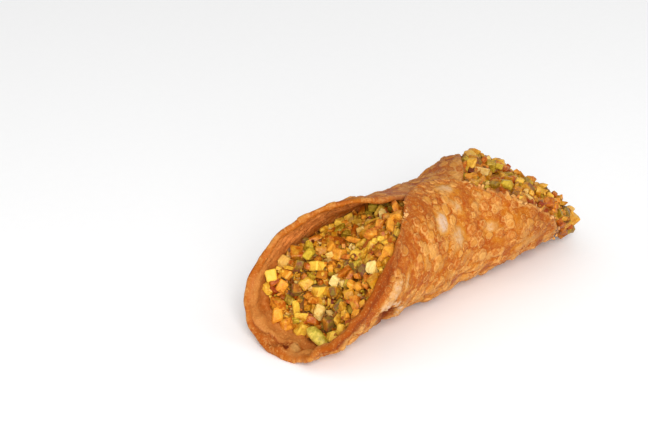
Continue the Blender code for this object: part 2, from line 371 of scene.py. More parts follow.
def edge_wobble(direction):
    """Share by which the hand-cut edge leaves its smooth line: a sum of waves round the outline."""
    rng = np.random.default_rng(11)
    total = np.zeros_like(direction)
    for count in range(6, 70):
        total += 0.0028 * np.cos(count * direction + rng.uniform(0.0, 2.0 * math.pi)) / count**0.70
    for middle, share, spread in EDGE_BENDS:
        away = (direction - middle + math.pi) % (2.0 * math.pi) - math.pi
        total += share * np.exp(-((away / spread) ** 2))
    first, last = RAGGED_EDGE
    ragged = smooth((direction - first) / 0.15) * smooth((last - direction) / 0.15)
    for count in range(75, 190, 5):
        total += 0.0013 * ragged * np.cos(count * direction + rng.uniform(0.0, 2.0 * math.pi))
    return total


def cut_edge(direction, further=0.0):
    """The dough's edge as it was cut: the outline, swollen by the wobble and by a further share."""
    u, w = outline(direction)
    swell = 1.0 + edge_wobble(direction) + further
    return u * swell, w * swell


def near_edge():
    """How far round the roll the near flap's edge is, at rising places along it."""
    edge_u, edge_w = cut_edge(np.linspace(0.0, math.pi, 500))
    order = np.argsort(edge_u)
    return edge_u[order], (edge_w / roll_radius(edge_u))[order]


def disc_grid(cells):
    """A square grid mapped to a disc: share of the way out, direction, faces, and the rim's points in turn.

    A point's share is the larger of its two coordinates, and its direction is even along a square's side.
    """
    line = np.linspace(-1.0, 1.0, cells + 1)
    a, b = np.meshgrid(line, line, indexing="ij")
    share = np.maximum(np.abs(a), np.abs(b))
    safe_a = np.where(a == 0.0, 1.0, a)
    safe_b = np.where(b == 0.0, 1.0, b)
    sideways = math.pi / 4.0 * b / safe_a + np.where(a < 0.0, math.pi, 0.0)
    upward = math.pi / 2.0 - math.pi / 4.0 * a / safe_b + np.where(b < 0.0, math.pi, 0.0)
    direction = np.where(np.abs(a) >= np.abs(b), sideways, upward)
    index = np.arange((cells + 1) ** 2).reshape(cells + 1, cells + 1)
    corners = (index[:-1, :-1], index[1:, :-1], index[1:, 1:], index[:-1, 1:])
    quads = np.stack([corner.ravel() for corner in corners], axis=1)
    sides = (index[-1, :-1], index[:0:-1, -1], index[0, :0:-1], index[:-1, 0])
    return share.ravel(), direction.ravel(), quads, np.concatenate(sides)


def edge_distance(u, w, rim_u, rim_w):
    """Distance of each point of the dough from the nearest of the rim's points."""
    nearest = np.empty(len(u))
    for start in range(0, len(u), BLOCK):
        part = slice(start, start + BLOCK)
        gap = (u[part, None] - rim_u[None, :]) ** 2 + (w[part, None] - rim_w[None, :]) ** 2
        nearest[part] = np.sqrt(gap.min(axis=1))
    return nearest


def bubbles_at(u, w, seed, count, smallest, largest, closeness, foam_at):
    """One layer of round bubbles: how far out of the nearest one each point is, its radius and its tone.

    Bubbles are thrown at random, biggest first, where the foam is thick, and kept where they have room.
    """
    rng = np.random.default_rng(seed)
    radii = np.sort(smallest + (largest - smallest) * rng.random(count) ** 1.7)[::-1]
    centres = rng.uniform((-FRONT_REACH, -0.070), (BACK_REACH, 0.064), (count, 2))
    wanted = rng.random(count) < foam_at(centres[:, 0], centres[:, 1])
    radii = radii[wanted]
    centres = centres[wanted]
    kept = [0]
    for index in range(1, len(radii)):
        gap = np.hypot(*(centres[kept] - centres[index]).T)
        if (gap > closeness * (radii[kept] + radii[index])).all():
            kept.append(index)
    radii = radii[kept]
    centres = centres[kept]
    tones = rng.random(len(radii))
    share = np.empty(len(u))
    radius = np.empty(len(u))
    tone = np.empty(len(u))
    for start in range(0, len(u), BLOCK):
        part = slice(start, start + BLOCK)
        gap = np.hypot(u[part, None] - centres[:, 0], w[part, None] - centres[:, 1]) / radii
        nearest = gap.argmin(axis=1)
        share[part] = np.minimum(gap[np.arange(len(nearest)), nearest], 2.0)
        radius[part] = radii[nearest]
        tone[part] = tones[nearest]
    return share, radius, tone


def calm_at(u, w):
    """1 where the crust stays smooth: in the calm patches, and in a few more that the waves choose."""
    flat = np.stack([u, w], axis=-1)
    calm = smooth((waves(flat, 0.016, 31) - 0.55) / 0.5)
    rough = 1.0 + 0.15 * waves(flat, 0.005, 32)
    for patch in CALM_PATCHES:
        away = oval_distance(u, w, *patch)
        calm = np.maximum(calm, smooth((1.25 - away * rough) / 0.4))
    return calm


def other_blisters():
    """Large blisters for the rest of the roll, in the same form as LARGE_BLISTERS."""
    rng = np.random.default_rng(5)
    found = []
    for _ in range(90):
        u, w = rng.uniform((-52.0, -58.0), (46.0, 60.0))
        known = -48.0 < u < 42.0 and 14.0 < w < 64.0
        if known or abs(w) > 62.0 * (1.0 - (abs(u + 4.0) / 66.0) ** 1.5):
            continue
        if all(math.hypot(u - other[0], w - other[1]) > 9.0 for other in found):
            length = rng.uniform(1.8, 4.0)
            width = length * rng.uniform(0.55, 0.95)
            height = 0.16 * width + 0.15
            found.append((u, w, length, width, rng.uniform(0, 180), height, rng.uniform(0.15, 0.9)))
    return found


def bubbled(u, w, quiet):
    """Height of the three layers of bubbles, and each layer's shares of the way out and tones.

    A bubble's dome is the root of 1 less its share to the power 2.6, with a rounded shoulder added, times
    its radius and its layer's rise. The highest bubble counts.
    """
    flat = np.stack([u, w], axis=-1)

    def foam_at(at_u, at_w):
        clusters = waves(np.stack([at_u, at_w], axis=-1), 0.011, 21)
        return np.clip(0.90 + 0.50 * clusters, 0.20, 1.0) * (1.0 - 0.93 * calm_at(at_u, at_w))

    bent_u = u + BUBBLE_BEND * waves(flat, 0.0022, 22)
    bent_w = w + BUBBLE_BEND * waves(flat, 0.0022, 23)
    height = np.zeros_like(u)
    shares = []
    tones = []
    for seed, count, smallest, largest, closeness, rise in BUBBLE_LAYERS:
        size = (smallest * MM, largest * MM)
        share, radius, tone = bubbles_at(bent_u, bent_w, seed, count, *size, closeness, foam_at)
        shoulder = np.exp(-(((share - 0.74) / 0.16) ** 2))
        dome = np.sqrt(np.clip(1.0 - share**2.6, 0.0, 1.0)) + 0.35 * shoulder
        height = np.maximum(height, rise * radius * dome)
        shares.append(share)
        tones.append(tone)
    return height * (1.0 - 0.80 * quiet), shares, tones


def blistered(u, w):
    """Height of the large blisters, how pale they make each point, and the halo around them: each falls
    smoothly with the share of the way out of the oval, and the highest counts.
    """
    rough = 1.0 + 0.10 * waves(np.stack([u, w], axis=-1), 0.0035, 33)
    height = np.zeros_like(u)
    pale = np.zeros_like(u)
    halo = np.zeros_like(u)
    for *oval, rise, paleness in LARGE_BLISTERS + tuple(other_blisters()):
        away = oval_distance(u, w, *oval) * rough
        height = np.maximum(height, rise * MM * (1.0 - smooth((away * 0.95) ** 2.2)))
        pale = np.maximum(pale, paleness * smooth((1.45 - away) / 1.15))
        halo = np.maximum(halo, (0.3 + 0.7 * paleness) * smooth((1.75 - away) / 0.8))
    return height, pale, halo


def ridge_at(u, w):
    """1 on the ridge's middle line and 0 past its sides, by the distance from the line over its width."""
    flat = np.stack([u, w], axis=-1)
    start, end = (np.array(point) * MM for point in RIDGE)
    run = end - start
    along = np.clip(((flat - start) @ run) / (run @ run), 0.0, 1.0)
    nearest = start + along[:, None] * run
    half = np.interp(along, (0.0, 1.0), RIDGE_HALF_WIDTHS) * MM
    away = np.hypot(*(flat - nearest).T) / half * (1.0 + 0.10 * waves(flat, 0.003, 34))
    return 1.0 - smooth(away**1.6)


def holes_at(u, w):
    """The burst end of the ridge and the pin-holes: where it is burst, how deep both are, their painted
    shade, and the torn, paler lip on the burst's uphill side.
    """
    ragged = 1.0 + 0.12 * waves(np.stack([u, w], axis=-1), 0.002, 39)
    away = oval_distance(u, w, *BURST) * ragged
    burst = smooth((1.25 - away) / 0.45)
    turn = math.radians(BURST[4])
    uphill = (w - BURST[1] * MM) * math.cos(turn) - (u - BURST[0] * MM) * math.sin(turn)
    # Painted shade in the burst, a little deeper on its uphill side under the torn lip
    dark = burst * (0.80 + 0.20 * smooth(uphill / 0.0024 + 0.35))
    torn = np.exp(-(((away - 1.34) / 0.17) ** 2)) * smooth(uphill / 0.002)
    pits = BURST_DEPTH * burst * smooth(uphill / 0.0040 + 0.6)
    for at_u, at_w, radius in PIN_HOLES:
        away = np.hypot(u - at_u * MM, w - at_w * MM) / (radius * MM)
        pits = pits + PIN_HOLE_DEPTH * (1.0 - smooth(away))
        # Painted shade in the pin-holes
        dark = np.maximum(dark, 0.8 * (1.0 - smooth(away * 1.2)))
    return burst, pits, dark, torn


def crust(u, w, edge):
    """Height of the crust over the plain roll, and the marks that its colour follows.

    Height is a sum: low swells, grain, three layers of bubbles with rounded shoulders, larger blisters,
    wrinkles along the lower sides, and the ridge behind the collar, less the pin-holes, the collar and the
    burst end of the ridge.
    """
    flat = np.stack([u, w], axis=-1)
    calm = calm_at(u, w)
    angle = w / roll_radius(u)
    near_front = smooth((u + 0.018) / -0.010) * smooth((w - 0.012) / 0.008)
    collar = smooth((COLLAR_WIDTH - edge) / 0.0026) * near_front
    collar = collar * (0.35 + 0.65 * smooth((u + 0.028) / -0.016))
    quiet = 1.0 - (1.0 - 0.8 * calm) * (1.0 - 0.85 * collar)
    overlap = smooth((-angle - 2.75) / 0.25)

    bubbles, shares, tones = bubbled(u, w, quiet)
    blisters, pale, halo = blistered(u, w)
    bubbles = np.maximum(bubbles * (1.0 - 0.8 * smooth(pale * 1.6)), 0.0) + blisters
    ridge = ridge_at(u, w)
    burst, pits, dark, torn = holes_at(u, w)
    stretched = np.stack([u * 0.22, w], axis=-1)
    low = smooth((np.abs(w) - 0.004) / 0.008) * smooth((0.034 - np.abs(w)) / 0.012)
    wrinkles = np.clip(waves(stretched, 0.0026, 35), 0.0, None) ** 1.5 * low * (1.0 - 0.6 * collar)

    height = sum_of_waves(flat, SWELLS)
    height += bubbles + WRINKLE_HEIGHT * wrinkles * (1.0 - calm)
    pressed = COLLAR_DEPTH * collar * (1.0 - smooth((0.002 - edge) / 0.0015))
    height += RIDGE_HEIGHT * ridge * (1.0 - burst) - pits - pressed
    height = (height - 0.00025) * (0.30 + 0.70 * smooth(edge / 0.0035)) * (1.0 - 0.8 * overlap)

    # Painted highlight: a paler line along the near flap's back edge, as if lit
    rim = smooth((0.0013 - edge) / 0.0007) * smooth((u - 0.006) / 0.008) * smooth((w - 0.010) / 0.010)
    ridge_top = smooth(ridge * 1.5)
    covered = np.maximum(smooth(pale * 1.5 - 0.15), ridge_top)
    pale_top = np.maximum(pale * (1.0 - 0.6 * collar), 0.66 * ridge_top * (1.0 - burst))
    # Painted shadow: a dark line on the far flap just past the near flap's edge, where the lap shades it
    edge_u, reach = near_edge()
    beyond = (angle + 2.0 * math.pi - np.interp(u, edge_u, reach)) * WAIST_RADIUS
    lap = smooth((0.0016 - beyond) / 0.0014) * smooth((-angle - 2.0) / 0.2)
    lap = lap * smooth((0.030 - np.abs(u + 0.004)) / 0.006)
    grey = smooth((-angle - 2.62) / 0.25) * smooth((0.012 - np.abs(u + 0.014)) / 0.010)
    # Darker towards the back end and on the far side's top, varied by broad waves
    browned = 0.80 * smooth((u - 0.014) / 0.024) + 0.45 * smooth((-angle - 2.1) / 0.5)
    browned = browned + 0.25 * waves(flat, 0.020, 24)
    marks = {
        "bubble_large": shares[0] + 0.9 * np.maximum(covered, halo),
        "bubble_middle": shares[1] + 0.9 * covered,
        "bubble_small": shares[2] + 0.9 * covered,
        "bubble_tone": tones[1],
        "pale": np.maximum(pale_top, torn),
        "halo": np.maximum(halo, ridge),
        "dark": dark,
        "calm": quiet,
        "collar": collar,
        "wrinkle": wrinkles * (1.0 - calm),
        "grey": grey,
        "browned": np.clip(browned, 0.0, 1.0),
        "lap": lap,
        "rim": rim,
    }
    return height, marks


def lining(u, w, edge):
    """How far the inner face stands into the roll, and its marks: the sum of long ripples along the rim,
    soft lumps, the rounded lip, the fold's step and its crack, beads, and the blister and the hole.
    """
    flat = np.stack([u, w], axis=-1)
    along_rim = np.stack([edge, w * 0.25, u * 0.10], axis=-1)
    far_wall = smooth((-w - 0.033) / 0.009)
    relief = 0.00014 * waves(along_rim, 0.0042, 54) * (1.0 - 0.75 * far_wall)
    relief += 0.00014 * waves(flat, 0.0070, 55)
    relief += 0.00009 * waves(flat, 0.0028, 56) * (1.0 + 2.0 * far_wall)
    rise, middle, width = LIP_ROUND
    relief += rise * np.exp(-(((edge - middle) / width) ** 2)) * (1.0 - far_wall)
    fold_u, fold_w = np.array(LIP_FOLD).T * MM
    line = np.interp(w, fold_w, fold_u) + 0.00025 * waves(flat, 0.0035, 57)
    here = smooth((0.003 - w) / 0.004) * smooth((w + 0.0185) / 0.0015) * smooth((-0.050 - u) / 0.008)
    fold = smooth((u - line) / 0.0006) * here
    depth, width = FOLD_CRACK
    relief += FOLD_HEIGHT * fold - depth * here * np.exp(-(((u - line) / width) ** 2))
    rough = smooth((-0.055 - u) / 0.004) * smooth((0.0075 - np.abs(w + 0.004)) / 0.004) * (1.0 - fold)
    relief += BEAD_HEIGHT * rough * np.clip(waves(flat, 0.0020, 58), 0.0, None)
    marks = {
        "fold_gap": np.clip((u - line) / MM, -4.0, 4.0),
        "lip": here,
        "rough": rough,
        "far_wall": far_wall,
    }
    for label, (oval, rise) in LIP_SPOTS.items():
        away = oval_distance(u, w, *oval)
        relief += rise * MM * smooth((1.25 - away) / 0.8)
        marks[label] = np.minimum(away, 4.0)
    return relief, marks


def sway(u, w, edge):
    """How far the whole wall leaves the plain roll: soft waves everywhere, more of them at the rim, the
    far side's flare and the dents.
    """
    flat = np.stack([u, w], axis=-1)
    angle = w / roll_radius(u)
    loose = smooth((0.009 - edge) / 0.008) * (1.0 - smooth((np.abs(angle) - 2.4) / 0.4))
    lumpy = 0.00010 + 0.00034 * smooth((0.030 - np.abs(w)) / 0.014)
    flare = smooth((0.011 - edge) / 0.010) * smooth((-angle - 1.65) / 0.4) * smooth((angle + 3.15) / 0.4)
    total = FAR_FLARE * flare * smooth((-0.006 - u) / 0.012)
    for *oval, depth in DENTS:
        total = total - depth * MM * np.exp(-(oval_distance(u, w, *oval) ** 2))
    return total + lumpy * waves(flat, 0.011, 51) + (0.00038 * waves(flat, 0.010, 52) - 0.0001) * loose


def wall_depth(u, w):
    """Thickness of the wall, uneven as rolled dough is."""
    flat = np.stack([u, w], axis=-1)
    thickness = bpy.context.scene.cannolo_shell.wall
    return thickness * (1.0 + 0.10 * waves(flat, 0.013, 53))


# ---------------------------------------------------------------- meshes


def make_mesh(name, points, faces, attributes, smooth_faces=True):
    """A mesh object at the origin, from points and arrays of faces; attributes are given point by point."""
    mesh = bpy.data.meshes.new(name)
    sizes = np.concatenate([np.full(len(part), part.shape[1]) for part in faces])
    corners = np.concatenate([part.ravel() for part in faces])
    starts = np.concatenate([[0], np.cumsum(sizes)[:-1]])
    mesh.vertices.add(len(points))
    mesh.vertices.foreach_set("co", np.ascontiguousarray(points, dtype=np.float32).ravel())
    mesh.loops.add(len(corners))
    mesh.loops.foreach_set("vertex_index", corners.astype(np.int32))
    mesh.polygons.add(len(sizes))
    mesh.polygons.foreach_set("loop_start", starts.astype(np.int32))
    mesh.polygons.foreach_set("use_smooth", np.full(len(sizes), smooth_faces))
    mesh.update(calc_edges=True)
    for label, values in attributes.items():
        kind, field = ("FLOAT", "value") if values.ndim == 1 else ("FLOAT_VECTOR", "vector")
        attribute = mesh.attributes.new(label, kind, "POINT")
        attribute.data.foreach_set(field, values.astype(np.float32).ravel())
    if mesh.validate():
        raise RuntimeError(f"{name}: its mesh had faults")
    piece = bpy.data.objects.new(name, mesh)
    bpy.context.scene.collection.objects.link(piece)
    return piece


def closed_skin(rows):
    """Points and faces of a closed skin through rows of points; the first and last row become poles."""
    count, steps = rows.shape[:2]
    points = np.concatenate([rows[0].mean(0)[None], rows[1:-1].reshape(-1, 3), rows[-1].mean(0)[None]])
    index = 1 + np.arange((count - 2) * steps).reshape(count - 2, steps)
    after = np.roll(index, -1, axis=1)
    quads = np.stack([index[:-1], after[:-1], after[1:], index[1:]], axis=-1).reshape(-1, 4)
    first = np.stack([np.zeros(steps, int), after[0], index[0]], axis=-1)
    last = np.stack([np.full(steps, len(points) - 1), index[-1], after[-1]], axis=-1)
    faces = [quads, first, last]
    corners = [points[part] for part in (quads[:, :3], quads[:, [0, 2, 3]], first, last)]
    volume = sum(np.einsum("ij,ij->", part[:, 0], np.cross(part[:, 1], part[:, 2])) for part in corners)
    if volume < 0.0:
        faces = [part[:, ::-1] for part in faces]
    return points, faces


def shell_mesh():
    """The shell: an outer disc of dough, a rounded rim and an inner disc half as fine, all rolled up.

    Every point is the roll's point for (u, w) at some depth, moved along the roll's normal by the sway, on
    the outside by the crust's height and on the inside by the lining's relief. The rim's rows follow a half
    circle from the outer to the inner face.
    """
    share, direction, quads, rim = disc_grid(OUTSIDE_CELLS)
    inner_share, inner_direction, inner_quads, inner_rim = disc_grid(INSIDE_CELLS)
    rim_direction = direction[rim]
    steps = len(rim)
    edge_u, edge_w = cut_edge(rim_direction)
    tangent = np.stack([np.roll(edge_u, -3) - np.roll(edge_u, 3), np.roll(edge_w, -3) - np.roll(edge_w, 3)])
    tangent /= np.hypot(*tangent)
    inward_u = -tangent[1] * RIM_BEND
    inward_w = tangent[0] * RIM_BEND

    def across_disc(part_share, part_direction, order, middle=0.0):
        """Places between the middle and every order-th place of the rim, by direction and share."""
        known = np.unwrap(rim_direction)[::order]
        phase = (part_direction - known[0]) % (2.0 * math.pi)
        start = np.append(known - known[0], 2.0 * math.pi)
        to_u = np.append((edge_u + inward_u)[::order], (edge_u + inward_u)[0])
        to_w = np.append((edge_w + inward_w)[::order], (edge_w + inward_w)[0])
        along = np.interp(phase, start, to_u) * part_share + middle * (1.0 - part_share)
        return along, np.interp(phase, start, to_w) * part_share

    out_u, out_w = across_disc(share**0.9, direction, 1)
    in_u, in_w = across_disc(1.0 - (1.0 - inner_share) ** 1.35, inner_direction, 2, INSIDE_MIDDLE)
    arcs = math.pi * np.arange(1, RIM_ROWS + 1) / (RIM_ROWS + 1)
    row_u = (edge_u + inward_u * (1.0 - np.sin(arcs))[:, None]).ravel()
    row_w = (edge_w + inward_w * (1.0 - np.sin(arcs))[:, None]).ravel()
    row_depth = np.repeat((1.0 - np.cos(arcs)) / 2.0, steps)

    u = np.concatenate([out_u, row_u, in_u])
    w = np.concatenate([out_w, row_w, in_w])
    inside = np.concatenate([np.zeros(len(out_u)), row_depth, np.ones(len(in_u))])
    edge = edge_distance(u, w, edge_u, edge_w)
    angle = w / roll_radius(u)
    height, marks = crust(u, w, edge)
    flaky = smooth((u - 0.004) / 0.010) * smooth((w - 0.014) / 0.010)
    thinner = np.maximum(0.45 * flaky, 0.50 * smooth((u + 0.048) / 0.014) * smooth((w - 0.040) / 0.008))
    depth = wall_depth(u, w) * (1.0 - thinner * (1.0 - smooth(edge / 0.005)))
    depth *= 1.0 + 0.22 * smooth((u + 0.030) / -0.015) * (1.0 - smooth((edge - 0.002) / 0.006))
    relief, lip_marks = lining(u, w, edge)
    proud = height * (1.0 - inside) - relief * smooth(edge / 0.0012) * inside
    marks |= lip_marks
    points = rolled(u, angle, depth * inside)
    points += roll_normals(u, angle) * (sway(u, w, edge) + proud)[:, None]
    points[:, 2] = np.maximum(points[:, 2], INNER_FLOOR * inside)

    first_row = len(out_u)
    first_inner = first_row + len(row_u)
    rows = [rim] + [first_row + steps * row + np.arange(steps) for row in range(RIM_ROWS)]
    bands = []
    for upper, lower in zip(rows[:-1], rows[1:]):
        bands.append(np.stack([upper, lower, np.roll(lower, -1), np.roll(upper, -1)], axis=1))
    last = rows[-1]
    inner = first_inner + inner_rim
    after = np.roll(inner, -1)
    a, b, c = last[0::2], last[1::2], np.roll(last, -2)[0::2]
    joins = ((a, inner, b), (b, inner, after), (b, after, c))
    joins = np.concatenate([np.stack(corners, axis=1) for corners in joins])
    faces = [quads, np.concatenate(bands), first_inner + inner_quads[:, ::-1], joins]
    marks["inside"] = inside
    marks["edge"] = edge / MM
    marks["dough"] = np.stack([u / MM, w / MM, np.zeros_like(u)], axis=-1)
    return points, faces, marks


# ---------------------------------------------------------------- the filled mouths


def mouth_ring(end, deeper=0.0):
    """Where a heap's edge meets the wall, deeper by that much: along the roll, round it, and as points.

    The front line runs through FRONT_FILL at even steps of its length. The back one is the rim's place at
    each angle, moved out beyond it and by a hang that is greatest at hang_angle. Both are blurred a little.
    """
    spread = np.hanning(FILL_BLUR)
    spread /= spread.sum()
    half = FILL_BLUR // 2
    if end == "front":
        turn, along = np.array(FRONT_FILL).T
        along = along * MM
        run = np.concatenate([[0.0], np.cumsum(np.hypot(np.diff(along), np.diff(turn) * WAIST_RADIUS))])
        even = np.linspace(0.0, run[-1], FILL_STEPS, endpoint=False)
        angle = np.interp(even, run, turn)
        along = np.interp(even, run, along) + deeper
        angle = np.concatenate([angle[-half:] - 2.0 * math.pi, angle, angle[:half] + 2.0 * math.pi])
        angle = np.convolve(angle, spread, mode="valid")
    else:
        angle = np.linspace(-math.pi, math.pi, FILL_STEPS, endpoint=False)
        turn = np.linspace(-math.pi / 2.0, math.pi / 2.0, 400)
        u, w = outline(turn)
        rim = np.interp(angle, w / roll_radius(u), u)
        below = (1.0 + np.cos(angle - BACK_FILL["hang_angle"])) / 2.0
        hang = BACK_FILL["hang"] * below ** BACK_FILL["hang_power"]
        along = rim + BACK_FILL["beyond"] + hang - deeper
    along = np.convolve(np.concatenate([along[-half:], along, along[:half]]), spread, mode="valid")
    return along, angle, rolled(along, angle, FILL_DEPTH, lifted=False)


def heap_axis(end, ring):
    """Middle of a mouth's ring, and the direction in which the heap on it bulges."""
    middle = ring.mean(axis=0)
    spokes = ring - middle
    square = np.cross(spokes, np.roll(spokes, -1, axis=0)).sum(axis=0)
    square /= np.linalg.norm(square) * (1.0 if square[2] > 0.0 else -1.0)
    along = np.array([-1.0 if end == "front" else 1.0, 0.0, 0.0])
    lean = HEAPS[end][1]
    axis = square * (1.0 - lean) + along * lean
    return middle, axis / np.linalg.norm(axis)


def heap_points(end, out, turn, sink=0.0, deeper=0.0):
    """Points of a heap's dome: out is 0 in its middle and 1 on its edge, turn is a share of the way round.

    The dome is a superellipse over the ring: out to a power and its rise to the same power add up to 1. It
    is sunk along its axis by sink.
    """
    height, _, power = HEAPS[end]
    ring = mouth_ring(end, deeper)[2]
    middle, axis = heap_axis(end, ring)
    place = (turn % 1.0) * len(ring)
    low = np.floor(place).astype(int) % len(ring)
    share = (place - np.floor(place))[..., None]
    spoke = ring[low] * (1.0 - share) + ring[(low + 1) % len(ring)] * share - middle
    rise = height * (1.0 - np.clip(out, 0.0, 1.0) ** power) ** (1.0 / power) - sink
    return middle + spoke * np.asarray(out)[..., None] + axis * np.asarray(rise)[..., None]


def heap_normals(end, out, turn):
    """Unit normals of the dome, out of the mouth: the cross product of its slopes."""
    step = 0.01
    outwards = heap_points(end, np.minimum(out + step, 0.999), turn) - heap_points(end, out - step, turn)
    around = heap_points(end, out, turn + step) - heap_points(end, out, turn - step)
    normals = np.cross(outwards, around)
    normals /= np.linalg.norm(normals, axis=-1, keepdims=True)
    axis = heap_axis(end, mouth_ring(end)[2])[1]
    return normals * np.sign(normals @ axis)[..., None]


# ---------------------------------------------------------------- chopped nuts


CORNERS = np.array([(x, y, z) for z in (-1.0, 1.0) for y in (-1.0, 1.0) for x in (-1.0, 1.0)])
SIDES = np.array([(0, 4, 6, 2), (1, 3, 7, 5), (0, 1, 5, 4), (2, 6, 7, 3), (0, 2, 3, 1), (4, 5, 7, 6)])


def chunk_faces():
    """Faces of one chunk, a block whose edges and corners are cut off: 6 sides, 12 edges and 8 corners.

    Each side has its own 4 points, so point 4 * side + place stands for that side's corner.
    """
    owners = {}
    for side, ring in enumerate(SIDES):
        for place, corner in enumerate(ring):
            owners[side, corner] = 4 * side + place
    edges = []
    for side, ring in enumerate(SIDES):
        for place in range(4):
            a, b = ring[place], ring[(place + 1) % 4]
            for other in range(side + 1, 6):
                if (other, a) in owners and (other, b) in owners:
                    edges.append((owners[side, b], owners[side, a], owners[other, a], owners[other, b]))
    tips = []
    for corner in range(8):
        sides = [side for side in range(6) if (side, corner) in owners]
        normals = [CORNERS[SIDES[side]].mean(axis=0) for side in sides]
        if np.cross(normals[1] - normals[0], normals[2] - normals[0]) @ CORNERS[corner] < 0.0:
            sides.reverse()
        tips.append([owners[side, corner] for side in sides])
    return [np.arange(CHUNK_POINTS).reshape(6, 4), np.array(edges), np.array(tips)]


CHUNK_FACES = chunk_faces()


def chunk_points(rng, centres, normals, sizes):
    """Points of many chunks: jittered, tapered, sheared blocks of those half sizes, tumbled in place."""
    count = len(centres)
    block = CORNERS[None] * (1.0 + rng.normal(0.0, 0.17, (count, 8, 3)))
    top = block[:, :, 2:3] > 0.0
    taper = np.where(top, rng.uniform(0.60, 1.0, (count, 1, 2)), 1.0)
    block[:, :, :2] *= taper
    block[:, :, 0] += block[:, :, 2] * rng.uniform(-0.30, 0.30, (count, 1))
    block *= sizes[:, None, :]
    cut = rng.uniform(0.16, 0.36, (count, 1, 1, 1))
    sides = block[:, SIDES]
    points = sides * (1.0 - cut) + sides.mean(axis=2, keepdims=True) * cut
    points = points.reshape(count, CHUNK_POINTS, 3)
    up = normals * 0.5 + rng.normal(0.0, 0.70, (count, 3))
    up /= np.linalg.norm(up, axis=1, keepdims=True)
    side = np.cross(up, rng.normal(size=(count, 3)))
    side /= np.linalg.norm(side, axis=1, keepdims=True)
    turned = np.stack([side, np.cross(up, side), up], axis=2)
    return np.einsum("nij,nkj->nki", turned, points) + centres[:, None, :]


def scatter(rng, end, count, sink, smallest, largest, closeness, taken=(np.zeros((0, 3)), np.zeros(0))):
    """Chunks on a heap, as places, lengths and normals: thrown at random, biggest first, and kept where
    they have room among each other and those already taken.
    """
    length = np.sort(smallest + (largest - smallest) * rng.random(count) ** 1.5)[::-1]
    spread = rng.random(count) ** 0.60
    turn = rng.random(count)
    out = np.sin(spread * math.pi / 2.0) ** (2.0 / HEAPS[end][2]) * NUT_THROWS[end]["spread"]
    wobble = rng.normal(0.0, 0.00090, count)
    places = heap_points(end, out, turn, sink + wobble)
    kept = []
    others, reach = taken[:2]
    for index in range(count):
        gap = np.linalg.norm(others - places[index], axis=1)
        if (gap > closeness * (reach + length[index])).all():
            kept.append(index)
            others = np.concatenate([others, places[index : index + 1]])
            reach = np.concatenate([reach, length[index : index + 1]])
    kept = np.array(kept)
    return places[kept], length[kept], heap_normals(end, out[kept], turn[kept])


def within_wall(points, end):
    """Points drawn in towards the roll's middle line where the wall covers them, so none comes through.

    The roll's arm and angle at a point are found back from its place, and the arm is held to WALL_CLEAR
    less than the radius wherever the point lies behind the rim.
    """
    u = points[..., 0] - DATUM.x
    radius = roll_radius(u)
    height = np.clip(points[..., 2] / (2.0 * radius), 0.0, 1.0)
    middle_y = DATUM.y - FRONT_LEAN * flares(u)[0] * height
    middle_z = radius - FLAT_DEPTH
    aside = middle_y - points[..., 1]
    below = middle_z - points[..., 2]
    angle = np.arctan2(aside, below)
    directions = np.linspace(math.pi / 2.0, 3.0 * math.pi / 2.0, 500)
    if end == "back":
        directions = math.pi - directions
    rim_u, rim_w = outline(directions)
    rim_angle = rim_w / roll_radius(rim_u)
    order = np.argsort(rim_angle)
    rim = np.interp(angle, rim_angle[order], rim_u[order]) + RIM_CLEAR[end]
    behind = u > rim if end == "front" else u < rim
    shrink = np.where(behind, np.minimum(1.0, (radius - WALL_CLEAR) / np.hypot(aside, below)), 1.0)
    return np.stack([points[..., 0], middle_y - aside * shrink, middle_z - below * shrink], axis=-1)


def join_chunks(name, points, attributes):
    """One mesh piece from the points of many chunks."""
    count, per = points.shape[:2]
    first = np.arange(count)[:, None, None] * per
    faces = [(first + part[None]).reshape(-1, part.shape[1]) for part in CHUNK_FACES]
    return make_mesh(name, points.reshape(-1, 3), faces, attributes, smooth_faces=False)


def nut_skin(rng, skinned):
    """How much skin each side of each chunk has: all of two sides and most of the last on the skinned ones,
    and one side on a few of the others.
    """
    count = len(skinned)
    every = np.arange(count)
    skin = np.zeros((count, 6, 4))
    has_skin = skinned | (rng.random(count) < 0.14)
    which = rng.integers(0, 6, count)
    skin[every, which] = has_skin[:, None]
    second = (which + rng.integers(1, 6, count)) % 6
    skin[every, second] = np.maximum(skin[every, second], skinned[:, None])
    skin[:, 5] = np.maximum(skin[:, 5], 0.9 * skinned[:, None])
    return skin


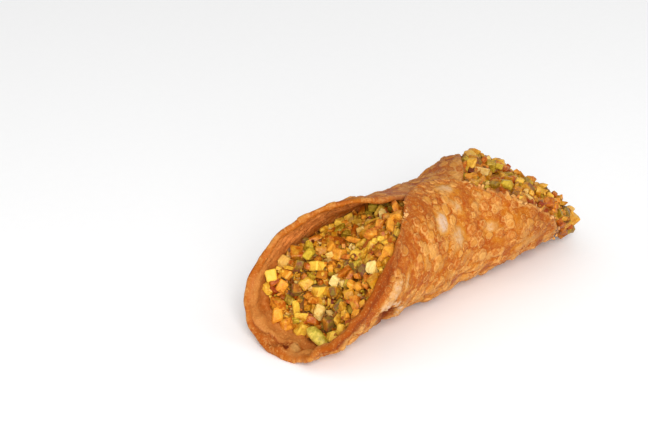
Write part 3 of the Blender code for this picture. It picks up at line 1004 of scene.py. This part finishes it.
def make_nuts(end):
    """The chopped pistachios on one end, a piece for each kind of chunk: large ones on top, crumbs in their
    gaps, and more large ones underneath.
    """
    settings = bpy.context.scene.cannolo_nuts
    throws = NUT_THROWS[end]
    rng = np.random.default_rng(throws["seed"])
    small = settings.smallest / 2.0
    large = settings.largest / 2.0 * throws["size"]
    top = scatter(rng, end, throws["large"], NUT_SINKS[0], small, large, throws["room"])
    gaps = scatter(rng, end, throws["crumbs"], NUT_SINKS[1], small * 0.35, small, 0.62, top)
    under = scatter(rng, end, throws["large"], NUT_SINKS[2], small, large * 0.9, 0.80)
    places, length, normals = (np.concatenate(parts) for parts in zip(top, gaps, under))
    buried = np.repeat(throws["shade"], [len(layer[0]) for layer in (top, gaps, under)])
    count = len(places)
    shares = [np.ones(count), rng.uniform(0.65, 1.0, count), rng.uniform(0.55, 0.92, count)]
    sizes = length[:, None] * np.stack(shares, axis=1)
    sizes[rng.random(count) < 0.22] *= (1.30, 0.62, 0.60)
    points = within_wall(chunk_points(rng, places, normals, sizes), end)
    points[:, :, 2] = np.maximum(points[:, :, 2], NUT_FLOOR)
    chance = [getattr(settings, kind) for kind in NUT_KINDS]
    chance = np.cumsum(np.multiply(chance, throws["kinds"]))
    kinds = np.searchsorted(chance / chance[-1], rng.random(count))
    towards = rng.normal(size=(count, 3))
    towards /= np.linalg.norm(towards, axis=1, keepdims=True)
    block = CORNERS[SIDES].reshape(1, CHUNK_POINTS, 3) + np.zeros((count, 1, 1))
    across = np.einsum("nij,nj->ni", block, towards)
    tint = rng.random((count, 1)) + 0.18 * across
    tint = tint + np.repeat(rng.normal(0.0, 0.12, (count, 6)), 4, axis=1) + throws["tint"]
    skin = nut_skin(rng, kinds == NUT_KINDS.index("skinned"))
    for kind, label in enumerate(NUT_KINDS):
        here = kinds == kind
        attributes = {
            "tint": tint[here].ravel(),
            "skin": skin[here].reshape(-1),
            "buried": np.repeat(buried[here], CHUNK_POINTS),
        }
        piece = join_chunks(f"pistachio_{label}_{end}", points[here], attributes)
        piece.data.materials.append(nut_material(label))
        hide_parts(f"pistachio_coat_{end}")
        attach(piece, "root")


def kernel_mesh():
    """Half a kernel: a long oval with blunt ends, round above and flatter below.

    Along its length, at a turn t from 0 to pi, it lies at -cos t, and is sin t to the power 0.8 wide. Round
    it, width and thickness follow the cosine and sine of the angle to the power 0.8, which squares it.
    """
    length, width, thickness = KERNEL["size"]
    centre = np.array(KERNEL["middle"]) + (SHELL_LOW.x, 0.0, 0.0)
    rows = np.linspace(0.0, math.pi, 26)
    steps = np.linspace(0.0, 2.0 * math.pi, 36, endpoint=False)
    t, a = np.meshgrid(rows, steps, indexing="ij")
    girth = np.maximum(np.sin(t), 0.0) ** 0.8
    x = -np.cos(t) * length / 2.0
    y = girth * np.sign(np.cos(a)) * np.abs(np.cos(a)) ** 0.8 * width / 2.0 * (1.0 + 0.16 * np.cos(t))
    z = girth * np.sign(np.sin(a)) * np.abs(np.sin(a)) ** 0.8 * thickness / 2.0
    z = np.where(z < 0.0, z * 0.55, z) - 0.25 * thickness * (x / length * 2.0) ** 2
    shape = np.stack([x, y, z], axis=-1)
    shape *= (1.0 + 0.025 * waves(shape, 0.0022, 81))[..., None]
    along = Vector(KERNEL["axis"]).normalized()
    up = Vector(KERNEL["up"])
    up = (up - along * along.dot(up)).normalized()
    across = up.cross(along)
    turned = Matrix((along, across, up)).transposed()
    points, faces = closed_skin(shape @ np.array(turned).T + centre)
    side = (points - centre) @ np.array(across) / width
    return make_mesh("pistachio_kernel", points, faces, {"tint": 0.5 - 0.9 * side})


# ---------------------------------------------------------------- finishes


class Finish:
    """A material in the making: each method adds a node and gives the socket that comes out of it."""

    def __init__(self, name, specular):
        self.material = bpy.data.materials.new(name)
        self.material.use_nodes = True
        self.tree = self.material.node_tree
        self.surface = self.tree.nodes["Principled BSDF"]
        self.surface.inputs["Specular IOR Level"].default_value = specular
        self.place = self.add("ShaderNodeTexCoord", {}).outputs["Object"]

    def feed(self, socket, value):
        """Links a socket to another one, or sets its own value, which for a colour is made opaque."""
        if isinstance(value, bpy.types.NodeSocket):
            self.tree.links.new(value, socket)
        elif socket.type == "RGBA":
            socket.default_value = (*value, 1.0)
        else:
            socket.default_value = value

    def soften(self, weight, radius):
        """Lets light a little way in: how much of it, and how far each of its colours goes."""
        self.surface.inputs["Subsurface Weight"].default_value = weight
        self.surface.inputs["Subsurface Radius"].default_value = radius
        self.surface.inputs["Subsurface Scale"].default_value = 1.0

    def add(self, kind, inputs, **settings):
        node = self.tree.nodes.new(kind)
        for name, value in settings.items():
            setattr(node, name, value)
        for name, value in inputs.items():
            self.feed(node.inputs[name], value)
        return node

    def mark(self, name, output="Fac"):
        return self.add("ShaderNodeAttribute", {}, attribute_name=name).outputs[output]

    def noise(self, size, detail=3.0, roughness=0.55, distortion=0.0, place=None):
        inputs = {"Vector": place or self.place, "Scale": 1.0 / size, "Detail": detail}
        inputs |= {"Roughness": roughness, "Distortion": distortion}
        return self.add("ShaderNodeTexNoise", inputs).outputs["Fac"]

    def cells(self, size, place):
        inputs = {"Vector": place, "Scale": 1.0 / size, "Randomness": 1.0}
        return self.add("ShaderNodeTexVoronoi", inputs, voronoi_dimensions="2D").outputs["Distance"]

    def stretched(self, place, scale):
        return self.add("ShaderNodeMapping", {"Vector": place, "Scale": scale}).outputs["Vector"]

    def span(self, value, low, high, to_low=0.0, to_high=1.0):
        """Goes smoothly from to_low to to_high while the value goes from low to high."""
        inputs = {"Value": value, "From Min": low, "From Max": high, "To Min": to_low, "To Max": to_high}
        return self.add("ShaderNodeMapRange", inputs, interpolation_type="SMOOTHSTEP").outputs["Result"]

    def band(self, value, rise, full, still, gone):
        """0 up to rise, 1 from full to still, and 0 again past gone."""
        return self.times(self.span(value, rise, full), self.span(value, still, gone, 1.0, 0.0))

    def maths(self, operation, a, b):
        return self.add("ShaderNodeMath", {0: a, 1: b}, operation=operation).outputs[0]

    def times(self, a, b):
        return self.maths("MULTIPLY", a, b)

    def plus(self, a, b):
        return self.maths("ADD", a, b)

    def most(self, a, b):
        return self.maths("MAXIMUM", a, b)

    def vector(self, operation, inputs):
        return self.add("ShaderNodeVectorMath", inputs, operation=operation).outputs[0]

    def mix(self, share, a, b, blend="MIX"):
        inputs = {0: share, 6: a, 7: b}
        return self.add("ShaderNodeMix", inputs, data_type="RGBA", blend_type=blend).outputs[2]

    def finish(self, colour, roughness, height, depth):
        bump = self.add("ShaderNodeBump", {"Height": height, "Distance": depth, "Strength": 1.0})
        for name, value in (("Base Color", colour), ("Roughness", roughness), ("Normal", bump.outputs[0])):
            self.tree.links.new(value, self.surface.inputs[name])
        return self.material


def crust_ground(make, look, calm, broad, patches):
    """Crust under the bubbles: patches of two browns, mottled, and yellower by the blisters."""
    tone = make.plus(make.times(broad, 0.5), make.times(patches, 0.5))
    colour = make.mix(make.span(tone, 0.42, 0.58), look.deep, look.middle)
    colour = make.mix(make.times(calm, 0.75), colour, look.deep)
    mottle = make.span(make.noise(0.0013, 3.0, 0.6), 0.40, 0.62)
    colour = make.mix(make.times(mottle, 0.30), colour, look.bubble)
    halo = make.times(make.mark("halo"), make.span(patches, 0.35, 0.6, 0.5, 1.0))
    colour = make.mix(halo, colour, look.halo)
    cloud = make.span(make.noise(0.0090, 2.0, 0.5, 0.6), 0.52, 0.68, 0.0, 0.55)
    return make.mix(cloud, colour, look.halo)


def bubble_colour(make, look, colour, patches, large, middle, small):
    """The paler insides of the three layers of bubbles, over the colour of the ground."""
    filling = make.mix(make.span(make.mark("bubble_tone"), 0.15, 0.75), look.bubble_deep, look.bubble)
    colour = make.mix(make.times(make.span(small, 1.0, 0.6), 0.5), colour, look.bubble)
    colour = make.mix(make.times(make.span(middle, 1.10, 0.48), 0.88), colour, filling)
    colour = make.mix(make.span(middle, 0.60, 0.10, 0.0, 0.35), colour, look.bubble_large)
    top = make.times(make.span(large, 1.0, 0.5), make.span(patches, 0.35, 0.60, 0.25, 0.9))
    return make.mix(top, colour, look.bubble_large)


def bubble_rims(make, dough, foam, large, middle, small):
    """Thin rims of the bubbles, faint in places, and a froth of bent cells where the foam is thick."""
    ring = make.band(large, 0.70, 0.86, 0.92, 1.06)
    ring = make.most(ring, make.band(middle, 0.60, 0.80, 0.92, 1.10))
    ring = make.most(ring, make.times(make.band(small, 0.50, 0.76, 0.90, 1.15), 0.45))
    faint = make.span(make.noise(0.0026, 2.0), 0.36, 0.60, 0.30, 1.0)
    ring = make.times(ring, faint)
    bent = make.add("ShaderNodeTexNoise", {"Vector": dough, "Scale": 0.9, "Detail": 1.0}).outputs["Color"]
    bent = make.vector("SUBTRACT", {0: bent, 1: (0.5, 0.5, 0.5)})
    bent = make.vector("SCALE", {0: bent, "Scale": 0.7})
    bent = make.vector("ADD", {0: dough, 1: bent})
    cells = make.cells(1.05, bent)
    froth = make.times(make.band(cells, 0.22, 0.34, 0.40, 0.54), foam)
    return make.most(ring, make.times(froth, 0.40))


def outer_colour(make, look, colour, pale, patches, middle, lines):
    """What lies over the bubbles: their rims and painted shadows, wrinkles, darkening at the back end and
    the far side's top, blisters, the collar with its painted shade, the painted shadow by the lap and the
    painted highlight on the rim.
    """
    shadow = make.times(make.band(middle, 1.0, 1.10, 1.16, 1.34), 0.40)
    colour = make.mix(shadow, colour, look.deep)
    colour = make.mix(make.times(lines, 0.72), colour, look.ring)
    colour = make.mix(make.times(make.span(make.mark("wrinkle"), 0.05, 0.7), 0.5), colour, look.ring)
    colour = make.mix(make.times(make.mark("browned"), 0.55), colour, look.browned, "MULTIPLY")
    soft = make.times(pale, make.span(patches, 0.30, 0.65, 0.72, 1.10))
    soft = make.times(soft, make.span(make.noise(0.0010, 3.0), 0.30, 0.62, 0.80, 1.12))
    colour = make.mix(make.span(soft, 0.02, 0.85, 0.0, 0.9), colour, look.blister)
    colour = make.mix(make.span(soft, 0.38, 1.15), colour, look.blister_top)
    # The collar's deep red brown, darkened further as painted shade beside the nuts
    colour = make.mix(make.times(make.mark("collar"), 0.9), colour, look.collar)
    grey = make.times(make.mark("grey"), make.span(patches, 0.35, 0.6))
    colour = make.mix(make.times(grey, 0.6), colour, look.crease)
    # Painted shadow along the near flap's edge over the far flap
    colour = make.mix(make.times(make.mark("lap"), 0.5), colour, look.painted_shade)
    # Painted highlight along the near flap's back edge
    rim = make.times(make.mark("rim"), make.span(patches, 0.35, 0.6, 0.2, 0.8))
    return make.mix(rim, colour, look.blister)


def lining_colour(make, look, dough, patches):
    """Colour of the inside: ripples of two browns, a lighter lip, painted light on the far wall, the fold,
    painted shade in its crack, the beads beside it, the small blister and painted shade in the hole.
    """
    edge = make.mark("edge")
    ripples = make.noise(2.6, 2.0, 0.5, 0.4, make.stretched(dough, (0.7, 0.4, 1.0)))
    lining = make.mix(make.span(ripples, 0.34, 0.66), look.lining_deep, look.lining)
    lining = make.mix(make.band(edge, 0.4, 2.4, 3.6, 7.0), lining, look.lining_light)
    lining = make.mix(make.times(make.span(edge, 1.4, 0.2), 0.6), lining, look.middle)
    lining = make.mix(make.times(make.span(patches, 0.54, 0.70), 0.35), lining, look.lining_deep)
    # Painted light: the far wall's inside, shaded under the rim, is made paler and redder
    far = make.times(make.mark("far_wall"), make.band(edge, 0.8, 2.4, 9.0, 14.0))
    lining = make.mix(make.times(far, make.span(ripples, 0.3, 0.6, 0.62, 0.86)), lining, look.far_lining_painted_light)
    lip = make.mark("lip")
    gap = make.mark("fold_gap")
    outer = make.most(make.times(make.span(gap, 0.1, -0.3), lip), make.mark("rough"))
    lining = make.mix(make.times(outer, 0.6), lining, look.deep)
    beads = make.times(make.mark("rough"), make.span(make.noise(0.0011, 2.0), 0.52, 0.64))
    lining = make.mix(make.times(beads, 0.40), lining, look.ring)
    fold = make.times(make.span(gap, 0.0, 0.6), make.times(lip, 0.8))
    lining = make.mix(fold, lining, look.lining_light)
    # Painted shade in the fold's crack
    crack = make.times(make.band(gap, -0.40, -0.15, 0.0, 0.25), make.times(lip, 0.45))
    lining = make.mix(crack, lining, look.painted_shade)
    uneven = make.times(make.noise(0.0011, 2.0), 0.5)
    lump = make.span(make.plus(make.mark("lip_blister"), uneven), 1.45, 0.75, 0.0, 0.75)
    lining = make.mix(lump, lining, look.blister)
    # Painted shade in the hole
    hole = make.span(make.plus(make.mark("lip_hole"), uneven), 1.40, 1.05)
    return make.mix(hole, lining, look.painted_shade)


def crust_material():
    """Fried crust: patchy orange brown, rings of small bubbles, pale blisters and a smoother inside."""
    look = bpy.context.scene.cannolo_shell
    make = Finish("fried_crust", specular=0.10)
    dough = make.mark("dough", "Vector")
    calm = make.mark("calm")
    pale = make.mark("pale")
    inside = make.mark("inside")
    broad = make.noise(0.015, 2.0)
    patches = make.noise(0.0042, 4.0, 0.6, 0.8)
    fine = make.noise(0.0007, 3.0)

    colour = crust_ground(make, look, calm, broad, patches)
    foam = make.span(make.noise(0.0075, 2.0), 0.40, 0.54)
    foam = make.times(foam, make.maths("SUBTRACT", 1.0, calm))
    bubbles = [make.mark(f"bubble_{size}") for size in ("large", "middle", "small")]
    middle, small = bubbles[1:]
    colour = bubble_colour(make, look, colour, patches, *bubbles)
    lines = bubble_rims(make, dough, foam, *bubbles)
    colour = outer_colour(make, look, colour, pale, patches, middle, lines)
    colour = make.mix(inside, colour, lining_colour(make, look, dough, patches))
    # Light specks are painted glints; dark specks are a real speckling of the crust
    specks_and_glints = make.noise(0.0006, 3.0, 0.7)
    colour = make.mix(make.span(specks_and_glints, 0.55, 0.70, 0.0, 0.55), colour, look.ring)
    colour = make.mix(make.span(specks_and_glints, 0.46, 0.30, 0.0, 0.55), colour, look.deep)
    # Painted shade in the burst and the pin-holes
    colour = make.mix(make.mark("dark"), colour, look.painted_shade)

    domes = make.most(make.span(middle, 1.08, 0.62), make.times(make.span(small, 1.05, 0.6), 0.6))
    domes = make.times(domes, make.maths("SUBTRACT", 1.0, inside))
    height = make.plus(make.times(lines, 0.45), make.times(fine, 0.60))
    height = make.plus(height, make.times(domes, 0.9))
    height = make.plus(height, make.times(patches, 0.5))
    roughness = make.span(patches, 0.3, 0.7, 0.44, 0.60)
    dry = make.most(make.mark("dark"), make.times(make.mark("collar"), 0.8))
    return make.finish(colour, make.most(roughness, dry), height, 0.00020)


def flake_material():
    """Loose flakes of crust: tan to pale, by each flake's tint, with a dry grain."""
    look = bpy.context.scene.cannolo_shell
    make = Finish("crust_flakes", specular=0.10)
    grain = make.noise(0.0006, 3.0)
    tone = make.plus(make.mark("tint"), make.times(grain, 0.4))
    colour = make.mix(make.span(tone, 0.15, 0.75), look.middle, look.ring)
    colour = make.mix(make.span(tone, 0.95, 1.45), colour, look.blister_top)
    return make.finish(colour, make.span(grain, 0.3, 0.7, 0.45, 0.60), grain, 0.0002)


def cream_material():
    """Thick cream, darkened to a golden brown as painted shade between the nuts: nearly even, with a faint
    curdled grain and a soft shine.
    """
    look = bpy.context.scene.cannolo_cream
    make = Finish("ricotta_cream", specular=0.4)
    make.soften(0.25, (0.004, 0.0025, 0.0015))
    curds = make.noise(0.0016, 3.0, 0.6)
    # Both cream colours are painted shade: browns that make the cream between the nuts read as shadow
    colour = make.mix(make.span(make.noise(0.005), 0.35, 0.65), look.shade, look.light)
    roughness = make.span(curds, 0.3, 0.7, 0.40, 0.60)
    return make.finish(colour, roughness, curds, 0.0003)


# The darker and the lighter colour of each kind of nut flesh, and what else colours it
NUT_COLOURS = {
    "golden": ((0.396, 0.077, 0.001), (0.810, 0.338, 0.027)),
    "yellow": ((0.486, 0.180, 0.003), (0.837, 0.513, 0.054)),
    "green": ((0.243, 0.126, 0.003), (0.630, 0.441, 0.032)),
    "skinned": ((0.198, 0.050, 0.002), (0.558, 0.194, 0.014)),
    "pale": ((0.660, 0.370, 0.066), (0.830, 0.610, 0.205)),
    "kernel": ((0.306, 0.234, 0.013), (0.846, 0.630, 0.099)),
}
NUT_SKIN = ((0.170, 0.055, 0.030), (0.19, 0.14, 0.020))
NUT_STAIN = (0.60, 0.36, 0.18)
NUT_SHADE = (0.60, 0.34, 0.14)


def nut_material(label):
    """One kind of nut: two tones mixed by the chunk's tint, stained and green in places, pale flecks that
    are partly dust and partly painted glints, skin on some faces, and a painted shade on the chunks that
    lie deeper.
    """
    make = Finish(f"pistachio_{label}", specular=0.24)
    make.soften(0.05, (0.0020, 0.0012, 0.0004))
    low, high = NUT_COLOURS[label]
    flesh = make.noise(0.0014, 3.0, 0.6, 0.4)
    grain = make.noise(0.0005, 2.0)
    mottle = make.span(flesh, 0.34, 0.66, 0.0, 0.42)
    tone = make.plus(make.times(make.mark("tint"), 0.68), mottle)
    colour = make.mix(make.span(tone, 0.10, 1.05), low, high)
    stain = make.span(make.noise(0.0024, 2.0, 0.6), 0.52, 0.68, 0.0, 0.35)
    colour = make.mix(stain, colour, NUT_STAIN, "MULTIPLY")
    green = make.span(make.noise(0.004, 1.0), 0.56, 0.70, 0.0, 0.30)
    colour = make.mix(green, colour, NUT_COLOURS["green"][1])
    skin = make.mix(make.span(flesh, 0.42, 0.58), *NUT_SKIN)
    # Pale flecks: partly dust on the nuts, partly painted glints
    dust = make.span(make.noise(0.0007, 3.0, 0.7), 0.54, 0.68, 0.0, 0.40)
    colour = make.mix(dust, colour, NUT_COLOURS["pale"][0])
    colour = make.mix(make.times(make.mark("skin"), 0.85), colour, skin)
    # Painted shade on the chunks that lie deeper
    colour = make.mix(make.mark("buried"), colour, NUT_SHADE, "MULTIPLY")
    roughness = make.span(flesh, 0.3, 0.7, 0.30, 0.46)
    height = make.plus(flesh, make.times(grain, 0.4))
    return make.finish(colour, roughness, height, 0.00030)


def floor_material(colour):
    """Matt white paper, with hardly any grain."""
    make = Finish("paper", specular=0.1)
    grain = make.noise(0.004, 2.0)
    tint = make.mix(make.span(grain, 0.3, 0.7), [channel * 0.995 for channel in colour], colour)
    return make.finish(tint, make.span(grain, 0.3, 0.7, 0.85, 0.95), grain, 0.00002)


# ---------------------------------------------------------------- settings


def colour_setting(name, description, value):
    return bpy.props.FloatVectorProperty(
        name=name, description=description, default=value, size=3, min=0.0, max=1.0, subtype="COLOR"
    )


def length_setting(name, description, value, low, high):
    return bpy.props.FloatProperty(
        name=name, description=description, default=value, min=low, max=high, unit="LENGTH", precision=4
    )


def amount_setting(name, description, value, high=1.0):
    return bpy.props.FloatProperty(name=name, description=description, default=value, min=0.0, max=high)


class ShellSettings(bpy.types.PropertyGroup):
    wall: length_setting("Wall", "Mean thickness of the dough", 0.0019, 0.0010, 0.0022)
    deep: colour_setting("Deep crust", "Smooth, well browned patches", (0.333, 0.058, 0.001))
    middle: colour_setting("Crust", "Most of the crust", (0.414, 0.097, 0.002))
    bubble: colour_setting("Bubbles", "Inside of the paler ones", (0.567, 0.230, 0.032))
    bubble_deep: colour_setting("Browned bubbles", "Inside of the browner ones", (0.396, 0.086, 0.003))
    bubble_large: colour_setting("Larger bubbles", "Inside of the larger bubbles", (0.603, 0.284, 0.067))
    ring: colour_setting("Bubble rims", "Thin rims of the small bubbles", (0.693, 0.351, 0.099))
    halo: colour_setting("Halo", "Yellower crust around the large blisters", (0.522, 0.184, 0.007))
    blister: colour_setting("Blisters", "Sides of the pale blisters", (0.576, 0.302, 0.086))
    blister_top: colour_setting("Blister tops", "Thin tops of the pale blisters", (0.594, 0.405, 0.279))
    # Partly painted shade: the collar's red brown is darkened for the shade beside the nuts
    collar: colour_setting("Collar", "Smooth band along the near flap's front", (0.234, 0.036, 0.001))
    # Multiplies the crust darker at the back end and on the far side's top
    browned: colour_setting("Browning", "Darkens the back end and the far side's top", (0.66, 0.56, 0.42))
    lining: colour_setting("Lining", "Inside of the wall", (0.455, 0.145, 0.027))
    lining_deep: colour_setting("Lining, deep", "Browner parts of the inside", (0.351, 0.081, 0.005))
    lining_light: colour_setting("Lining, light", "Rounded lip just inside the rim", (0.495, 0.180, 0.036))
    # Painted light: lifts the far wall's shaded inside
    far_lining_painted_light: colour_setting("Lining, far side", "Paler inside of the far wall", (0.640, 0.208, 0.045))
    crease: colour_setting("Crease", "Greyish dough by the lap", (0.378, 0.135, 0.063))
    # Painted shade: the near-black red brown put in the holes, the fold's crack and the line by the lap
    painted_shade: colour_setting("Burnt", "Bottoms of the holes", (0.160, 0.017, 0.001))


class CreamSettings(bpy.types.PropertyGroup):
    cover: length_setting("Cover", "How far below the top of the nuts the cream lies", 0.0030, 0.001, 0.008)
    # Painted shade: both cream colours are browns, so cream seen between the nuts reads as shadow
    light: colour_setting("Cream", "Colour of the cream", (0.576, 0.243, 0.036))
    # The darker of the two painted-shade browns
    shade: colour_setting("Cream, stained", "Colour where nut dust has stained it", (0.270, 0.072, 0.005))


class NutSettings(bpy.types.PropertyGroup):
    smallest: length_setting("Smallest", "Length of the smallest chunks", 0.0020, 0.0005, 0.010)
    largest: length_setting("Largest", "Length of the largest chunks", 0.0047, 0.001, 0.015)
    golden: amount_setting("Golden", "Share of golden chunks", 0.37)
    yellow: amount_setting("Yellow", "Share of yellow chunks", 0.34)
    green: amount_setting("Green", "Share of yellow-green chunks", 0.15)
    skinned: amount_setting("Skinned", "Share of chunks with their skin on", 0.06)
    pale: amount_setting("Pale", "Share of pale chunks", 0.09)


class StageSettings(bpy.types.PropertyGroup):
    floor: length_setting("Floor", "Width of the floor", 6.0, 0.5, 20.0)
    paper: colour_setting("Paper", "Colour of the floor", (0.97, 0.97, 0.97))
    sky: amount_setting("Sky", "Strength of the light from all around", 0.66, 5.0)
    key: amount_setting("Key light", "Large soft light in front and above, in watts", 10.9, 100.0)
    fill: amount_setting("Fill light", "Soft light from the other side, in watts", 1.45, 100.0)
    low: amount_setting("Low light", "Soft light from low in front, in watts", 2.5, 100.0)


# ---------------------------------------------------------------- operators


class CANNOLO_OT_shell(bpy.types.Operator):
    """Make the fried shell in place of its solid"""

    bl_idname = "cannolo.shell"
    bl_label = "Fried shell"

    def execute(self, context):
        points, faces, marks = shell_mesh()
        shell = make_mesh("fried_shell", points, faces, marks)
        shell.data.materials.append(crust_material())
        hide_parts("pastry_shell")
        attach(shell, "root")
        return {"FINISHED"}


class CANNOLO_OT_cream(bpy.types.Operator):
    """Make the cream from mouth to mouth, just under the nuts"""

    bl_idname = "cannolo.cream"
    bl_label = "Cream"

    def execute(self, context):
        cover = context.scene.cannolo_cream.cover
        turn = np.linspace(0.0, 1.0, FILL_STEPS, endpoint=False)
        out = np.sin(np.linspace(0.0, 1.0, CAP_ROWS) * math.pi / 2.0) ** 0.9
        grid_out, grid_turn = np.meshgrid(out, turn, indexing="ij")
        caps = {}
        for end in MOUTHS:
            caps[end] = heap_points(end, grid_out, grid_turn, cover * (1.0 - grid_out**4), CREAM_BACK)
            axis = heap_axis(end, mouth_ring(end)[2])[1]
            lumps = sum_of_waves(caps[end], CREAM_LUMPS)
            caps[end] += axis * (lumps * (1.0 - grid_out**6))[..., None]
        front, front_angle = mouth_ring("front", CREAM_BACK)[:2]
        back, back_angle = mouth_ring("back", CREAM_BACK)[:2]
        share = np.linspace(0.0, 1.0, WALL_ROWS)[1:-1, None]
        wall_angle = front_angle + (back_angle - front_angle) * smooth(share * 2.0)
        wall = rolled(front + (back - front) * share, wall_angle, FILL_DEPTH, lifted=False)
        points, faces = closed_skin(np.concatenate([caps["front"], wall, caps["back"][::-1]]))
        cream = make_mesh("cream_core", points, faces, {})
        cream.data.materials.append(cream_material())
        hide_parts("cream_filling")
        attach(cream, "root")
        return {"FINISHED"}


class CANNOLO_OT_nuts(bpy.types.Operator):
    """Scatter the chopped pistachios over both ends of the cream"""

    bl_idname = "cannolo.nuts"
    bl_label = "Chopped pistachios"

    def execute(self, context):
        for end in MOUTHS:
            make_nuts(end)
        return {"FINISHED"}


class CANNOLO_OT_flakes(bpy.types.Operator):
    """Scatter small flakes of crust along the near flap's edge"""

    bl_idname = "cannolo.flakes"
    bl_label = "Crust flakes"

    def execute(self, context):
        rng = np.random.default_rng(91)
        direction = np.concatenate([rng.uniform(first, last, count) for first, last, count in FLAKE_RUNS])
        count = len(direction)
        u, w = cut_edge(direction, rng.uniform(-0.016, 0.006, count))
        angle = w / roll_radius(u)
        normals = roll_normals(u, angle)
        stand = sway(u, w, np.zeros(count))[:, None]
        centres = rolled(u, angle) + normals * (stand + rng.uniform(0.0, 0.0004, (count, 1)))
        length = rng.uniform(0.0003, 0.0008, (count, 1))
        sizes = length * rng.uniform((0.8, 0.5, 0.22), (1.2, 0.9, 0.40), (count, 3))
        points = chunk_points(rng, centres, normals, sizes)
        tint = np.repeat(rng.random(count), CHUNK_POINTS)
        flakes = join_chunks("crust_flakes", points, {"tint": tint})
        flakes.data.materials.append(flake_material())
        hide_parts("pastry_shell")
        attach(flakes, "root")
        return {"FINISHED"}


class CANNOLO_OT_kernel(bpy.types.Operator):
    """Lay the large half kernel on the front lip"""

    bl_idname = "cannolo.kernel"
    bl_label = "Half kernel"

    def execute(self, context):
        kernel = kernel_mesh()
        kernel.data.materials.append(nut_material("kernel"))
        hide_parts("pistachio_coat_front")
        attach(kernel, "root")
        return {"FINISHED"}


class CANNOLO_OT_stage(bpy.types.Operator):
    """Make the floor, the lights and the camera"""

    bl_idname = "cannolo.stage"
    bl_label = "Floor, lights and camera"

    def execute(self, context):
        settings = context.scene.cannolo_stage
        half = settings.floor / 2.0
        corners = np.array([(-half, -half, 0.0), (half, -half, 0.0), (half, half, 0.0), (-half, half, 0.0)])
        floor = make_mesh("floor", corners, [np.array([[0, 1, 2, 3]])], {})
        floor.data.materials.append(floor_material(settings.paper))

        world = bpy.data.worlds.new("studio")
        world.use_nodes = True
        world.node_tree.nodes["Background"].inputs["Color"].default_value = (1.0, 1.0, 1.0, 1.0)
        world.node_tree.nodes["Background"].inputs["Strength"].default_value = settings.sky
        context.scene.world = world
        for name, spot, size in LIGHTS:
            light = bpy.data.lights.new(f"{name}_light", "AREA")
            light.size = size
            light.energy = getattr(settings, name)
            lamp = bpy.data.objects.new(light.name, light)
            lamp.location = spot
            towards = Vector(LIGHTS_AIM) - lamp.location
            lamp.rotation_euler = towards.to_track_quat("-Z", "Y").to_euler()
            context.scene.collection.objects.link(lamp)

        turn = math.radians(VIEW["turn"])
        lift = math.radians(VIEW["lift"])
        right = Vector((math.cos(turn), math.sin(turn), 0.0))
        back = Vector((math.sin(turn) * math.cos(lift), -math.cos(turn) * math.cos(lift), math.sin(lift)))
        up = back.cross(right)
        lens = bpy.data.cameras.new("camera")
        lens.lens = VIEW["lens"]
        lens.sensor_width = VIEW["sensor"]
        camera = bpy.data.objects.new("camera", lens)
        spot = Vector(VIEW_POINT) + back * VIEW_BACK - right * VIEW_LEFT + up * VIEW_UP
        camera.matrix_world = Matrix.Translation(spot) @ Matrix((right, up, back)).transposed().to_4x4()
        context.scene.collection.objects.link(camera)
        context.scene.camera = camera
        context.scene.view_settings.view_transform = "Standard"
        return {"FINISHED"}


class CANNOLO_PT_panel(bpy.types.Panel):
    """The cannolo's sizes, colours and steps"""

    bl_idname = "CANNOLO_PT_panel"
    bl_label = "Cannolo"
    bl_space_type = "VIEW_3D"
    bl_region_type = "UI"
    bl_category = "Cannolo"

    def draw(self, context):
        for group, steps in PANEL_ROWS:
            box = self.layout.box()
            settings = getattr(context.scene, group)
            for name in settings.__annotations__:
                box.prop(settings, name)
            for step in steps:
                box.operator(step)


PANEL_ROWS = (
    ("cannolo_shell", ("cannolo.shell", "cannolo.flakes")),
    ("cannolo_cream", ("cannolo.cream",)),
    ("cannolo_nuts", ("cannolo.nuts", "cannolo.kernel")),
    ("cannolo_stage", ("cannolo.stage",)),
)
SETTINGS = {
    "cannolo_shell": ShellSettings,
    "cannolo_cream": CreamSettings,
    "cannolo_nuts": NutSettings,
    "cannolo_stage": StageSettings,
}
OTHER_CLASSES = (
    CANNOLO_OT_shell,
    CANNOLO_OT_flakes,
    CANNOLO_OT_cream,
    CANNOLO_OT_nuts,
    CANNOLO_OT_kernel,
    CANNOLO_OT_stage,
    CANNOLO_PT_panel,
)


def register():
    """Makes the settings, operators and panel known to Blender."""
    for name, group in SETTINGS.items():
        bpy.utils.register_class(group)
        setattr(bpy.types.Scene, name, bpy.props.PointerProperty(type=group))
    for each in OTHER_CLASSES:
        bpy.utils.register_class(each)


def unregister():
    """Takes them away again."""
    for each in reversed(OTHER_CLASSES):
        bpy.utils.unregister_class(each)
    for name, group in SETTINGS.items():
        delattr(bpy.types.Scene, name)
        bpy.utils.unregister_class(group)


def main():
    register()
    bpy.ops.cannolo.shell()
    bpy.ops.cannolo.flakes()
    bpy.ops.cannolo.cream()
    bpy.ops.cannolo.nuts()
    bpy.ops.cannolo.kernel()
    bpy.ops.cannolo.stage()


if __name__ == "__main__":
    main()
